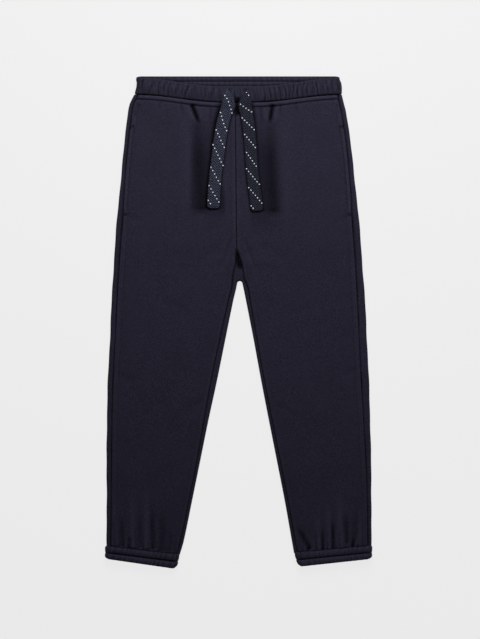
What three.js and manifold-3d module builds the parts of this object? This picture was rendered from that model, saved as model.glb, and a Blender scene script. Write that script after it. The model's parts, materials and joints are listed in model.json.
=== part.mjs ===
// A child's jogger sweatpants in brushed fleece, laid flat with the front up. Units are millimetres.
// X runs across the garment, Y towards the waist and Z up from the surface that it lies on.
// The origin is under the middle of the garment. Left and right are as seen from above.

import * as THREE from "three";
import { mergeVertices } from "three/addons/utils/BufferGeometryUtils.js";
import Module from "manifold-3d";

const wasm = await Module();
wasm.setup();

// Cloth
const PLY = 1.8; // one ply of brushed fleece
const SEAM_GAP = 0.3; // open line between two pieces that are sewn together
const HALF_GAP = SEAM_GAP / 2;
const FOLD_REACH = 3.2; // how far a folded edge curves in from the outline
const LEAST_HEIGHT = 2 * PLY + 0.45; // the upper ply never sinks onto the lower one

// Loft of the upper ply above the surface, and how far each rise takes to build up
const LOFT = {
  edge: 5.4,
  middle: 1.3,
  sideReach: 20,
  gapReach: 16,
  hips: 1.2, // the pocket bags hold the hips up
  hipsFrom: 66,
  hipsBy: 104,
  ends: 1.5, // the leg rises to meet the waistband and the cuffs
  waistReach: 20,
  cuffReach: 24,
  foldMargin: 6, // folds fade out this far inside a folded edge
};

// Waistband: a folded casing with elastic in it
const BAND = {
  seamY: 277.4, // waist seam at the sides and at the back
  frontDrop: 9.5, // how far the front seam sags at the middle
  dropFrom: 20,
  dropTo: 125,
  topY: 300.2, // top edge of the back band
  frontHeight: 19.8,
  leftEndLoss: 2.4, // the front band rolls in at its left end
  halfWidth: 126.3,
  topNarrowing: 2.2,
  wall: 4.4,
  gapMiddle: 0.8, // the two sides of the band lie closer in the middle than at its ends
  gapEnd: 2.4,
  flatHalf: 60,
  endRun: 60,
  gathers: 29,
  gatherDepth: 0.85,
  gatherLean: 5,
  scallop: 0.35, // share of the gathers that shows along the top edge
};

// Cuffs: two elastic channels with a line of stitching between them
const CUFF = {
  wall: 3.9,
  gap: 0.7,
  gathers: 15,
  gatherDepth: 0.5,
  gatherLean: 3,
  groove: 1.0, // depth of the stitched line between the channels
  cornerRise: 1.8,
  cornerHeight: 0.25, // shares of the cuff's height and length that each lower corner rounds over
  cornerLength: 0.1,
};
const CUFFS = [
  {
    side: -1,
    name: "cuff_left",
    outerTop: [-161.8, -272.6],
    innerTop: [-71.8, -282.4],
    outerEnd: [-161.6, -288.4],
    innerEnd: [-74.9, -301.0],
  },
  {
    side: 1,
    name: "cuff_right",
    outerTop: [163.1, -271.8],
    innerTop: [68.4, -280.9],
    outerEnd: [162.6, -289.2],
    innerEnd: [72.6, -298.8],
  },
];

// Outer outline, as distances from the middle, and how far in from it the side seam lies
const SIDE = [
  { y: 278, left: 126.8, right: 126.2, leftSeam: 5.6, rightSeam: 5.6 },
  { y: 272, left: 130.0, right: 127.8, leftSeam: 5.6, rightSeam: 5.8 },
  { y: 266, left: 132.8, right: 129.4, leftSeam: 5.6, rightSeam: 6.2 },
  { y: 257, left: 135.0, right: 131.9, leftSeam: 5.6, rightSeam: 6.5 },
  { y: 222, left: 138.7, right: 136.8, leftSeam: 5.2, rightSeam: 6.2 },
  { y: 174, left: 143.6, right: 142.4, leftSeam: 5.6, rightSeam: 6.8 },
  { y: 125, left: 148.2, right: 147.4, leftSeam: 7.2, rightSeam: 8.6 },
  { y: 76, left: 151.9, right: 151.4, leftSeam: 7.0, rightSeam: 9.0 },
  { y: 27, left: 154.6, right: 154.8, leftSeam: 6.6, rightSeam: 9.4 },
  { y: -22, left: 157.0, right: 157.4, leftSeam: 6.5, rightSeam: 9.8 },
  { y: -71, left: 159.3, right: 159.6, leftSeam: 6.4, rightSeam: 9.6 },
  { y: -120, left: 160.6, right: 161.3, leftSeam: 6.2, rightSeam: 8.2 },
  { y: -169, left: 160.8, right: 162.2, leftSeam: 6.0, rightSeam: 6.6 },
  { y: -218, left: 160.9, right: 162.8, leftSeam: 5.6, rightSeam: 5.2 },
  { y: -276, left: 160.7, right: 162.4, leftSeam: 5.0, rightSeam: 4.4 },
];

// Inner outline of each leg, below the rounded tip of the gap, and how far in from it the inseam lies
const GAP_TIP = { x: 1.8, y: 47.3, radius: 3.2 };
const INSIDE = [
  { y: 48, left: -1.3, right: 4.9, leftSeam: 6.2, rightSeam: 6.0 },
  { y: 39.5, left: -3.0, right: 6.8, leftSeam: 5.6, rightSeam: 5.4 },
  { y: 27, left: -6.0, right: 9.3, leftSeam: 5.8, rightSeam: 5.5 },
  { y: -22, left: -16.0, right: 18.9, leftSeam: 6.6, rightSeam: 5.0 },
  { y: -71, left: -25.9, right: 27.9, leftSeam: 7.0, rightSeam: 4.0 },
  { y: -120, left: -36.5, right: 37.4, leftSeam: 5.4, rightSeam: 3.7 },
  { y: -169, left: -46.4, right: 47.1, leftSeam: 4.0, rightSeam: 3.7 },
  { y: -218, left: -56.4, right: 56.7, leftSeam: 3.7, rightSeam: 3.7 },
  { y: -266, left: -66.3, right: 65.2, leftSeam: 3.7, rightSeam: 3.7 },
  { y: -284, left: -71.6, right: 68.4, leftSeam: 3.7, rightSeam: 3.7 },
];

// Crotch: the back wraps forward round the tip of the gap, and the four panels meet above it
const CROTCH_Y = 68.5;
const TIP_ROWS = [
  { angle: 90, outerY: 64, wrap: CROTCH_Y - GAP_TIP.y - GAP_TIP.radius },
  { angle: 62, outerY: 56, wrap: 12.5 },
  { angle: 36, outerY: 48, wrap: 8 },
  { angle: 13, outerY: 41, wrap: 6.2 },
];
const FRONT_SEAM_X = -2.7; // the centre front seam lies a little off the middle
const FRONT_SEAM_BEND_Y = 96; // below this it leans over to the crotch point
const BACK_SEAM_X = 0;

// Soft folds of the front. A positive depth is a trough and a negative one a ridge.
const FOLDS = [
  { x1: -57, y1: 266, x2: -46, y2: 239, width: 3.2, depth: 2.2, fadeIn: 2, fadeOut: 14 },
  { x1: -47, y1: 246, x2: -50, y2: 128, width: 8, depth: 1.7, fadeIn: 14, fadeOut: 22 },
  { x1: -66, y1: 258, x2: -64, y2: 120, width: 11, depth: -0.7, fadeIn: 20, fadeOut: 30 },
  { x1: 42, y1: 266, x2: 37.5, y2: 239, width: 3.2, depth: 2.2, fadeIn: 2, fadeOut: 14 },
  { x1: 38, y1: 246, x2: 43, y2: 128, width: 9, depth: 1.6, fadeIn: 14, fadeOut: 22 },
  { x1: 58, y1: 258, x2: 62, y2: 118, width: 12, depth: -0.7, fadeIn: 20, fadeOut: 30 },
  { x1: -120, y1: 268, x2: -128, y2: 246, width: 3.5, depth: 0.8, fadeIn: 4, fadeOut: 10 },
  { x1: 119, y1: 268, x2: 126, y2: 248, width: 3.5, depth: 0.7, fadeIn: 4, fadeOut: 10 },
  { x1: -10, y1: 88, x2: -26, y2: 8, width: 8, depth: -0.6, fadeIn: 12, fadeOut: 40 },
  { x1: 14, y1: 88, x2: 28, y2: 8, width: 8, depth: -0.6, fadeIn: 12, fadeOut: 40 },
  { x1: -20, y1: 96, x2: -58, y2: 70, width: 6, depth: 0.5, fadeIn: 10, fadeOut: 24 },
  { x1: 24, y1: 98, x2: 64, y2: 74, width: 6, depth: 0.5, fadeIn: 10, fadeOut: 24 },
  { x1: -146, y1: -222, x2: -144, y2: -270, width: 4.2, depth: 1.2, fadeIn: 26, fadeOut: 3 },
  { x1: -133, y1: -240, x2: -131, y2: -273, width: 3.6, depth: 1.3, fadeIn: 20, fadeOut: 2 },
  { x1: -121, y1: -206, x2: -120, y2: -270, width: 7, depth: -0.9, fadeIn: 34, fadeOut: 4 },
  { x1: -110, y1: -226, x2: -108, y2: -275, width: 4.6, depth: 1.3, fadeIn: 30, fadeOut: 3 },
  { x1: -90, y1: -232, x2: -92, y2: -278, width: 4.2, depth: 1.2, fadeIn: 28, fadeOut: 3 },
  { x1: 66, y1: -244, x2: 87, y2: -277, width: 3.6, depth: 1.7, fadeIn: 10, fadeOut: 2 },
  { x1: 100, y1: -246, x2: 102, y2: -276, width: 3.4, depth: 1.4, fadeIn: 18, fadeOut: 2 },
  { x1: 115, y1: -232, x2: 116, y2: -275, width: 3.4, depth: 1.6, fadeIn: 22, fadeOut: 2 },
  { x1: 124, y1: -214, x2: 125, y2: -270, width: 6, depth: -0.8, fadeIn: 30, fadeOut: 4 },
  { x1: 128, y1: -242, x2: 134, y2: -273, width: 3.6, depth: 1.3, fadeIn: 18, fadeOut: 2 },
  { x1: 152, y1: -226, x2: 143, y2: -270, width: 4.6, depth: 1.0, fadeIn: 24, fadeOut: 3 },
];

// Hollow that the front sinks into just above the crotch point
const PIT = { topX: -2.6, topY: 92, lowX: 1.8, lowY: 70, endY: 57, topWidth: 1.6, width: 4.6, depth: 3.4 };

// Pocket bags in the side seams, of thin pocketing, with their mouths at the seams
const POCKET = {
  mouthTopY: 237,
  mouthEndY: 134,
  gape: 0.8, // how far the front stands off the side seam along the mouth
  gapeRun: 12,
  topY: 246,
  lowY: 112,
  width: 72,
  topCorner: 12,
  lowCorner: 26,
  wall: 1,
  hollow: 0.4,
  rim: 2,
  inFromSeam: 1.2,
};

// Drawcord: flat woven tape, whose two free ends come out of the band's front
const CORD = { width: 15.4, thick: 2.2, lift: 0.45, landing: 9, steps: 16 };
const CORD_ROUTES = {
  drawcord_left: [
    [-12.2, 284.2], [-11.8, 281.5], [-11.3, 276.6], [-11.3, 270.4],
    [-13.4, 260.7], [-16.2, 251.5], [-18.9, 242.3], [-21.1, 229.5],
    [-23.0, 216.7], [-24.5, 205.0], [-25.9, 193.4], [-27.2, 182.4],
    [-28.5, 171.4], [-29.4, 160.5], [-30.0, 149.5], [-30.1, 138.6],
  ],
  drawcord_right: [
    [10.6, 284.2], [10.4, 281.5], [9.6, 276.6], [8.4, 270.4],
    [9.4, 259.4], [11.2, 247.7], [12.6, 237.0], [13.8, 226.0],
    [14.8, 215.4], [15.4, 206.8], [15.9, 198.3], [16.8, 185.5],
    [18.2, 173.0], [19.8, 161.0], [21.4, 149.5], [22.9, 135.4],
  ],
};

// Mesh density
const HIP_ROWS = 14;
const LEG_ROWS = 16;
const EVEN_ROWS = 0.35; // share of even spacing in the leg rows, which otherwise crowd towards the cuff
const SAG_SHARE = 0.35; // share of the hip rows that follow the sag of the front waist seam
const FRONT_COLUMNS = 20;
const CROWDING = 0.45; // how much the columns crowd towards the centre seam at the hips
const CROWD_ROWS = { last: 28, fade: 12 };
const FOLD_STEPS = 5;
const UNDER_COLUMNS = 2;
const BAND_STEPS = { perGather: 4, back: 18, end: 6 };
const CUFF_STEPS = { perGather: 4, back: 6, end: 6 };

const NAVY = { color: 0x26262f, roughness: 0.95, metalness: 0 };
const BAND_NAVY = { color: 0x2a2a36, roughness: 0.93, metalness: 0 };
const CORD_NAVY = { color: 0x2e3444, roughness: 0.85, metalness: 0 };
const POCKETING = { color: 0x22222a, roughness: 0.9, metalness: 0 };

const mix = (a, b, t) => a + (b - a) * t;
const radians = (degrees) => (degrees * Math.PI) / 180;

function smooth(t) {
  const s = Math.min(1, Math.max(0, t));
  return s * s * (3 - 2 * s);
}

// Smooth curve through one column of a table whose rows run from high y to low y.
function alongTable(rows, column, y) {
  const last = rows.length - 1;
  const below = rows.findIndex((row) => row.y < y);
  const at = below < 0 ? last - 1 : Math.max(0, below - 1);
  const slope = (i) => {
    const before = rows[Math.max(0, i - 1)];
    const after = rows[Math.min(last, i + 1)];
    return (after[column] - before[column]) / (after.y - before.y);
  };
  const a = rows[at];
  const b = rows[at + 1];
  const span = b.y - a.y;
  const t = Math.min(1, Math.max(0, (y - a.y) / span));
  const t2 = t * t;
  const t3 = t2 * t;
  return (
    (2 * t3 - 3 * t2 + 1) * a[column] +
    (t3 - 2 * t2 + t) * span * slope(at) +
    (3 * t2 - 2 * t3) * b[column] +
    (t3 - t2) * span * slope(at + 1)
  );
}

const sideColumn = (side) => (side < 0 ? "left" : "right");
const outerX = (side, y) => side * alongTable(SIDE, sideColumn(side), y);
const outerSeamInset = (side, y) => alongTable(SIDE, sideColumn(side) + "Seam", y);
const innerX = (side, y) => alongTable(INSIDE, sideColumn(side), y);
const innerSeamInset = (side, y) => alongTable(INSIDE, sideColumn(side) + "Seam", y);

// Height of the waist seam on the front at x.
function frontWaistY(x) {
  const rise = smooth((Math.abs(x) - BAND.dropFrom) / (BAND.dropTo - BAND.dropFrom));
  return BAND.seamY - BAND.frontDrop * (1 - rise);
}

// Where the leg ends and the cuff starts at x.
function cuffTopY(x) {
  const cuff = CUFFS[x < 0 ? 0 : 1];
  const t = (x - cuff.outerTop[0]) / (cuff.innerTop[0] - cuff.outerTop[0]);
  return mix(cuff.outerTop[1], cuff.innerTop[1], t);
}

function frontSeamX(y) {
  return mix(GAP_TIP.x, FRONT_SEAM_X, smooth((y - CROTCH_Y) / (FRONT_SEAM_BEND_Y - CROTCH_Y)));
}

// How far a point is from the gap between the legs.
function gapDistance(x, y) {
  const tip = Math.hypot(x - GAP_TIP.x, y - GAP_TIP.y) - GAP_TIP.radius;
  if (y >= GAP_TIP.y) return Math.max(0, tip);
  const side = x < GAP_TIP.x ? -1 : 1;
  return Math.max(0, side * (x - innerX(side, y)));
}

// Depth of one soft fold at a point: a rounded trough along its line, faded at both ends.
function foldDepth(fold, x, y) {
  const run = { x: fold.x2 - fold.x1, y: fold.y2 - fold.y1 };
  const length = Math.hypot(run.x, run.y);
  const along = ((x - fold.x1) * run.x + (y - fold.y1) * run.y) / length;
  const across = ((x - fold.x1) * run.y - (y - fold.y1) * run.x) / length;
  const ends = smooth(along / fold.fadeIn) * smooth((length - along) / fold.fadeOut);
  return fold.depth * ends * Math.exp(-((across / fold.width) ** 2));
}

function pitDepth(x, y) {
  if (y > PIT.topY || y < PIT.endY) return 0;
  const down = Math.min(1, (PIT.topY - y) / (PIT.topY - PIT.lowY));
  const middle = mix(PIT.topX, PIT.lowX, down);
  const width = mix(PIT.topWidth, PIT.width, down);
  const shape = y > PIT.lowY ? smooth(down) : smooth((y - PIT.endY) / (PIT.lowY - PIT.endY));
  return PIT.depth * shape * Math.exp(-(((x - middle) / width) ** 2));
}

// Outer surface of the upper ply: loft, hips, ends, folds and the hollow at the crotch.
function topHeight(x, y) {
  const fromSide = Math.max(0, Math.abs(outerX(x < 0 ? -1 : 1, y)) - Math.abs(x));
  const fromGap = gapDistance(x, y);
  const middle = (1 - Math.exp(-fromSide / LOFT.sideReach)) * (1 - Math.exp(-fromGap / LOFT.gapReach));
  const hips = smooth((y - LOFT.hipsFrom) / (LOFT.hipsBy - LOFT.hipsFrom));
  const atWaist = Math.exp(-(frontWaistY(x) - y) / LOFT.waistReach);
  const atCuff = Math.exp(-(y - cuffTopY(x)) / LOFT.cuffReach);
  const ends = Math.min(1, atWaist + atCuff);
  const loft = LOFT.edge + LOFT.middle * middle + LOFT.hips * hips + LOFT.ends * ends;
  const folds = FOLDS.reduce((sum, fold) => sum + foldDepth(fold, x, y), 0);
  const nearEdge = smooth((Math.min(fromSide, fromGap) - FOLD_REACH) / LOFT.foldMargin);
  return Math.max(LEAST_HEIGHT, loft - folds * nearEdge - pitDepth(x, y));
}

// Rows of one half, from the waist seam to the cuff.
// Each row says where it meets the side, the inner edge of the front and the fold of the leg.
function rowsOfHalf(side) {
  const cuff = CUFFS[side < 0 ? 0 : 1];
  const waist = BAND.seamY - HALF_GAP;
  const crotchFold = GAP_TIP.y + GAP_TIP.radius;
  const rows = [];
  for (let j = 0; j < HIP_ROWS; j++) {
    const t = (1 - Math.cos((Math.PI * j) / HIP_ROWS)) / 2;
    const frontY = mix(frontWaistY(FRONT_SEAM_X) - HALF_GAP, CROTCH_Y, t);
    rows.push({
      outerY: mix(waist, TIP_ROWS[0].outerY, t),
      front: [frontSeamX(frontY) + side * HALF_GAP, frontY],
      back: [mix(BACK_SEAM_X, GAP_TIP.x, t) + side * HALF_GAP, mix(waist, crotchFold + FOLD_REACH, t)],
      waistShare: 1 - smooth(t / SAG_SHARE),
    });
  }
  for (const tip of TIP_ROWS) {
    const out = [side * Math.cos(radians(tip.angle)), Math.sin(radians(tip.angle))];
    const shift = tip.angle === 90 ? side * HALF_GAP : 0;
    const fold = [GAP_TIP.x + GAP_TIP.radius * out[0] + shift, GAP_TIP.y + GAP_TIP.radius * out[1]];
    rows.push(legRow(fold, out, tip.wrap, tip.outerY));
  }
  const startY = INSIDE[0].y;
  const lastOuter = TIP_ROWS[TIP_ROWS.length - 1].outerY;
  for (let j = 1; j <= LEG_ROWS; j++) {
    const t = j / LEG_ROWS;
    const down = mix(Math.sin((Math.PI * t) / 2), t, EVEN_ROWS);
    const y = mix(startY, cuff.innerTop[1] + HALF_GAP, down);
    const lean = (innerX(side, y + 1) - innerX(side, y - 1)) / 2;
    const size = Math.hypot(1, lean);
    const inward = [side / size, (-side * lean) / size];
    const outerY = mix(lastOuter, cuff.outerTop[1] + HALF_GAP, down);
    rows.push(legRow([innerX(side, y), y], inward, innerSeamInset(side, y), outerY));
  }
  return rows;
}

// A row of the leg: its fold beside the gap, the direction from there into the cloth,
// and how far that fold wraps over to the seam on the upper side.
function legRow(fold, inward, wrap, outerY) {
  return {
    outerY,
    fold,
    inward,
    wrap,
    front: [fold[0] + inward[0] * wrap, fold[1] + inward[1] * wrap],
    back: [fold[0] + inward[0] * FOLD_REACH, fold[1] + inward[1] * FOLD_REACH],
    waistShare: 0,
  };
}

// A closed wall of cloth between outer and inner points.
// Its rim is closed along each edge where a face has no neighbour.
function clothSolid(outer, inner, quads, flip) {
  const count = outer.length;
  const triangles = [];
  const edges = new Map();
  const add = (a, b, c) => {
    triangles.push(flip ? [a, c, b] : [a, b, c]);
    triangles.push(flip ? [a + count, b + count, c + count] : [a + count, c + count, b + count]);
    const round = flip ? [[a, c], [c, b], [b, a]] : [[a, b], [b, c], [c, a]];
    for (const [from, to] of round) edges.set(from + "_" + to, [from, to]);
  };
  for (const [a, b, c, d] of quads) {
    add(a, b, c);
    add(a, c, d);
  }
  for (const [from, to] of edges.values()) {
    if (edges.has(to + "_" + from)) continue;
    triangles.push([to, from, from + count], [to, from + count, to + count]);
  }
  return meshData([...outer, ...inner], triangles);
}

function meshData(points, triangles) {
  const geometry = new THREE.BufferGeometry();
  geometry.setAttribute("position", new THREE.Float32BufferAttribute(points.flat(), 3));
  geometry.setIndex(triangles.flat());
  geometry.computeVertexNormals();
  return geometry;
}

function named(name, geometry, finish) {
  const mesh = new THREE.Mesh(geometry, new THREE.MeshStandardMaterial(finish));
  mesh.name = name;
  return mesh;
}

// How far the front stands off the side seam: only along the pocket mouth.
function mouthGape(y) {
  const fromTop = smooth((POCKET.mouthTopY - y) / POCKET.gapeRun);
  return POCKET.gape * fromTop * smooth((y - POCKET.mouthEndY) / POCKET.gapeRun);
}

// Front panel: the upper ply between the side seam and the centre seam or the inseam.
function frontPanel(side) {
  const rows = rowsOfHalf(side);
  const outer = [];
  const quads = [];
  rows.forEach((row, j) => {
    const inset = outerSeamInset(side, row.outerY) + HALF_GAP + mouthGape(row.outerY);
    const fromX = outerX(side, row.outerY) - side * inset;
    const trim = row.fold ? HALF_GAP : 0;
    const to = row.fold ? row.front.map((value, axis) => value + row.inward[axis] * trim) : row.front;
    const crowd = CROWDING * smooth((CROWD_ROWS.last - j) / CROWD_ROWS.fade);
    for (let i = 0; i <= FRONT_COLUMNS; i++) {
      const t = i / FRONT_COLUMNS;
      const share = t * (1 + crowd * (1 - t));
      const x = mix(fromX, to[0], share);
      const straight = mix(row.outerY, to[1], share);
      const sagging = frontWaistY(x) - HALF_GAP - (rows[0].outerY - row.outerY);
      const y = mix(straight, sagging, row.waistShare);
      outer.push([x, y, topHeight(x, y)]);
    }
  });
  const width = FRONT_COLUMNS + 1;
  for (let j = 0; j < rows.length - 1; j++)
    for (let i = 0; i < FRONT_COLUMNS; i++)
      quads.push([j * width + i, (j + 1) * width + i, (j + 1) * width + i + 1, j * width + i + 1]);
  const inner = outer.map(([x, y, z]) => [x, y, z - PLY]);
  return clothSolid(outer, inner, quads, side > 0);
}

// The points round a folded edge, from its upper side to its lower side or the other way.
function foldPoints(edge, inward, height, fromTop) {
  const points = { outer: [], inner: [] };
  const core = [edge[0] + inward[0] * FOLD_REACH, edge[1] + inward[1] * FOLD_REACH];
  for (let k = 0; k <= FOLD_STEPS; k++) {
    const angle = radians(mix(90, -90, k / FOLD_STEPS) * (fromTop ? 1 : -1));
    const place = (reach, half) => [
      core[0] - inward[0] * reach * Math.cos(angle),
      core[1] - inward[1] * reach * Math.cos(angle),
      height / 2 + half * Math.sin(angle),
    ];
    points.outer.push(place(FOLD_REACH, height / 2));
    points.inner.push(place(FOLD_REACH - PLY, height / 2 - PLY));
  }
  return points;
}

// Back panel: from the side seam on top, round the outer fold and flat underneath.
// Below the crotch it goes on round the inner fold to the inseam on top.
function backPanel(side) {
  const rows = rowsOfHalf(side);
  const outer = [];
  const inner = [];
  const grid = rows.map((row) => {
    const line = [];
    const put = (over, under) => {
      outer.push(over);
      inner.push(under);
      line.push(outer.length - 1);
    };
    const putTop = (x, y) => {
      const z = topHeight(x, y);
      put([x, y, z], [x, y, z - PLY]);
    };
    const edge = [outerX(side, row.outerY), row.outerY];
    const inset = outerSeamInset(side, row.outerY) - HALF_GAP;
    putTop(edge[0] - side * inset, row.outerY);
    const outerCore = [edge[0] - side * FOLD_REACH, row.outerY];
    const sideFold = foldPoints(edge, [-side, 0], topHeight(...outerCore), true);
    sideFold.outer.forEach((point, k) => put(point, sideFold.inner[k]));
    for (let i = 1; i < UNDER_COLUMNS; i++) {
      const x = mix(outerCore[0], row.back[0], i / UNDER_COLUMNS);
      const y = mix(outerCore[1], row.back[1], i / UNDER_COLUMNS);
      put([x, y, 0], [x, y, PLY]);
    }
    if (!row.fold) {
      put([...row.back, 0], [...row.back, PLY]);
      return line;
    }
    const innerFold = foldPoints(row.fold, row.inward, topHeight(...row.back), false);
    innerFold.outer.forEach((point, k) => put(point, innerFold.inner[k]));
    const wrap = row.wrap - HALF_GAP;
    putTop(row.fold[0] + row.inward[0] * wrap, row.fold[1] + row.inward[1] * wrap);
    return line;
  });
  const quads = [];
  for (let j = 0; j < grid.length - 1; j++) {
    const [here, next] = [grid[j], grid[j + 1]];
    const across = Math.min(here.length, next.length) - 1;
    for (let i = 0; i < across; i++) quads.push([here[i], here[i + 1], next[i + 1], next[i]]);
  }
  return clothSolid(outer, inner, quads, side > 0);
}

// Uneven gathers along a band: a wave whose spacing and depth wander with slower waves.
function gatherWave(along, pitch) {
  const quick = 0.3 * Math.sin(along / (pitch * 0.83));
  const slow = 0.22 * Math.sin(along / (pitch * 2.7) + 1.3);
  const depth = 0.72 + 0.28 * Math.sin(along / (pitch * 1.9) + 0.6);
  return depth * Math.cos(2 * Math.PI * (along / pitch + quick + slow));
}

// A flattened band that goes round the opening. Each station holds one section of its wall.
// place(station, height, outward) gives a point, with height and outward as shares of the wall's sizes.
function ringSolid(stations, section, place) {
  const points = stations.flatMap((station) => section.map(([up, out]) => place(station, up, out)));
  const triangles = [];
  const size = section.length;
  stations.forEach((_, s) => {
    const next = (s + 1) % stations.length;
    for (let k = 0; k < size; k++) {
      const l = (k + 1) % size;
      const [a, b, c, d] = [s * size + k, s * size + l, next * size + l, next * size + k];
      triangles.push([a, b, c], [a, c, d]);
    }
  });
  return meshData(points, triangles);
}

// Stations round a flattened ring: along the front, round one end, along the back and round the other.
// across runs from 0 to 1 between the two ends, and angle is 90 on the front and -90 on the back.
function ringStations(gathers, steps) {
  const stations = [];
  const front = gathers * steps.perGather;
  for (let i = 0; i <= front; i++) stations.push({ across: i / front, angle: 90 });
  for (let i = 1; i < steps.end; i++) stations.push({ across: 1, angle: mix(90, -90, i / steps.end) });
  for (let i = 0; i <= steps.back; i++) stations.push({ across: 1 - i / steps.back, angle: -90 });
  for (let i = 1; i < steps.end; i++) stations.push({ across: 0, angle: mix(-90, -270, i / steps.end) });
  return stations;
}

// How much of the gathers shows on a face: all of it outside on the front, less round the ends,
// a little inside, and none under the band where it rests.
function gatherShare(angle, outward) {
  if (angle === -90) return outward < 0 ? -0.3 : 0;
  return (outward > 0 ? 1 : -0.2) * (angle === 90 ? 1 : 0.4);
}

// Waistband: height runs from the waist seam to the top edge.
function waistband() {
  const section = [
    [0.0, -0.28], [0.06, -0.5], [0.5, -0.5], [0.93, -0.5], [1.0, -0.2], [1.0, 0.2],
    [0.93, 0.5], [0.68, 0.56], [0.42, 0.56], [0.18, 0.54], [0.05, 0.48], [0.0, 0.24],
  ];
  const endRadius = BAND.wall + BAND.gapEnd / 2;
  const pitch = (2 * BAND.halfWidth) / BAND.gathers;
  const place = ({ across, angle }, height, outward) => {
    const reach = BAND.halfWidth - BAND.topNarrowing * height - endRadius;
    const x = mix(-reach, reach, across);
    const towardsEnd = smooth((Math.abs(x) - BAND.flatHalf) / BAND.endRun);
    const rise = BAND.wall + mix(BAND.gapMiddle, BAND.gapEnd, towardsEnd);
    const turn = radians(angle);
    const upper = (1 + Math.sin(turn)) / 2;
    const onFace = Math.abs(outward) > 0.4;
    const swell = Math.sin(Math.PI * Math.min(1, 0.12 + height));
    const wave = gatherWave(x + BAND.gatherLean * height, pitch) * BAND.gatherDepth * swell;
    const out = outward * BAND.wall + (onFace ? wave * gatherShare(angle, outward) : 0);
    const low = mix(BAND.seamY, frontWaistY(x), upper) + HALF_GAP;
    const frontHeight = BAND.frontHeight - (x < 0 ? BAND.leftEndLoss * towardsEnd : 0);
    const tall = mix(BAND.topY - BAND.seamY - HALF_GAP, frontHeight, upper);
    const scallop = height === 1 && angle !== -90 ? BAND.scallop * wave : 0;
    return [
      x + (rise / 2 + out) * Math.cos(turn),
      low + tall * height + scallop,
      Math.max(0, BAND.wall / 2 + rise * upper + out * Math.sin(turn)),
    ];
  };
  return ringSolid(ringStations(BAND.gathers, BAND_STEPS), section, place);
}

// Cuff: height runs from the cuff seam to the hem.
function cuffRing(cuff) {
  const groove = CUFF.groove / CUFF.wall;
  const section = [
    [0.0, 0.26], [0.08, 0.5], [0.26, 0.54], [0.43, 0.5], [0.5, 0.5 - groove], [0.57, 0.5],
    [0.76, 0.54], [0.92, 0.48], [1.0, 0.22], [1.0, -0.22], [0.9, -0.5], [0.06, -0.5],
  ];
  const length = Math.abs(cuff.innerTop[0] - cuff.outerTop[0]);
  const rise = CUFF.wall + CUFF.gap;
  const inset = (CUFF.wall + CUFF.gap / 2) / length;
  const [first, last] = cuff.side < 0 ? ["outer", "inner"] : ["inner", "outer"];
  const between = (edge, axis, t) => mix(cuff[first + edge][axis], cuff[last + edge][axis], t);
  const place = ({ across, angle }, height, outward) => {
    const t = mix(inset, 1 - inset, across);
    const turn = radians(angle);
    const nearEnd = smooth((Math.abs(across - 0.5) - 0.5 + CUFF.cornerLength) / CUFF.cornerLength);
    const corner = CUFF.cornerRise * nearEnd * smooth((height - 1 + CUFF.cornerHeight) / CUFF.cornerHeight);
    const gathers = angle === 90 && outward > 0.4 ? CUFF.gatherDepth : 0;
    const wave = gathers * gatherWave(t * length + CUFF.gatherLean * height, length / CUFF.gathers);
    const out = outward * CUFF.wall + wave;
    return [
      mix(between("Top", 0, t), between("End", 0, t), height) + (rise / 2 + out) * Math.cos(turn),
      mix(between("Top", 1, t) - HALF_GAP, between("End", 1, t) + corner, height),
      Math.max(0, CUFF.wall / 2 + (rise * (1 + Math.sin(turn))) / 2 + out * Math.sin(turn)),
    ];
  };
  return ringSolid(ringStations(CUFF.gathers, CUFF_STEPS), section, place);
}

// The solid of a closed geometry, for cutting.
function solidOf(geometry) {
  const bare = geometry.clone();
  bare.deleteAttribute("normal");
  bare.deleteAttribute("uv");
  const merged = mergeVertices(bare, 1e-4);
  const vertProperties = merged.attributes.position.array;
  const triVerts = new Uint32Array(merged.index.array);
  return new wasm.Manifold(new wasm.Mesh({ numProp: 3, vertProperties, triVerts }));
}

// Pocket bag: a flat pouch between the plies, open along its mouth.
function pocketBag(side) {
  const bottom = PLY + SEAM_GAP;
  const edgeX = (y) => outerX(side, y) - side * (outerSeamInset(side, y) + POCKET.inFromSeam);
  const outline = (inset, reach) => {
    const shape = new THREE.Shape();
    const far = (y) => edgeX(y) - side * (POCKET.width - inset);
    const top = POCKET.topY - inset;
    const low = POCKET.lowY + inset;
    const mouthTop = reach ? POCKET.mouthTopY : top;
    const mouthEnd = reach ? POCKET.mouthEndY : POCKET.mouthEndY - inset;
    shape.moveTo(edgeX(mouthTop) + side * reach, mouthTop);
    shape.lineTo(far(top) + side * POCKET.topCorner, top);
    shape.quadraticCurveTo(far(top), top, far(top), top - POCKET.topCorner);
    shape.lineTo(far(low), low + POCKET.lowCorner);
    shape.quadraticCurveTo(far(low), low, far(low) + side * POCKET.lowCorner, low);
    const lowEdge = edgeX(low) - side * POCKET.topCorner;
    shape.quadraticCurveTo(lowEdge, low, edgeX(mouthEnd) + side * reach, mouthEnd);
    shape.closePath();
    return shape;
  };
  const layer = (shape, depth, z) => {
    const made = new THREE.ExtrudeGeometry(shape, { depth, bevelEnabled: false, curveSegments: 5 });
    made.translate(0, 0, z);
    return solidOf(made);
  };
  const bag = layer(outline(0, 0), 2 * POCKET.wall + POCKET.hollow, bottom);
  const hollow = layer(outline(POCKET.rim, POCKET.rim), POCKET.hollow, bottom + POCKET.wall);
  const pouch = bag.subtract(hollow);
  const { vertProperties, triVerts } = pouch.getMesh();
  const geometry = new THREE.BufferGeometry();
  geometry.setAttribute("position", new THREE.BufferAttribute(new Float32Array(vertProperties), 3));
  geometry.setIndex(new THREE.BufferAttribute(new Uint32Array(triVerts), 1));
  return geometry;
}

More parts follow.
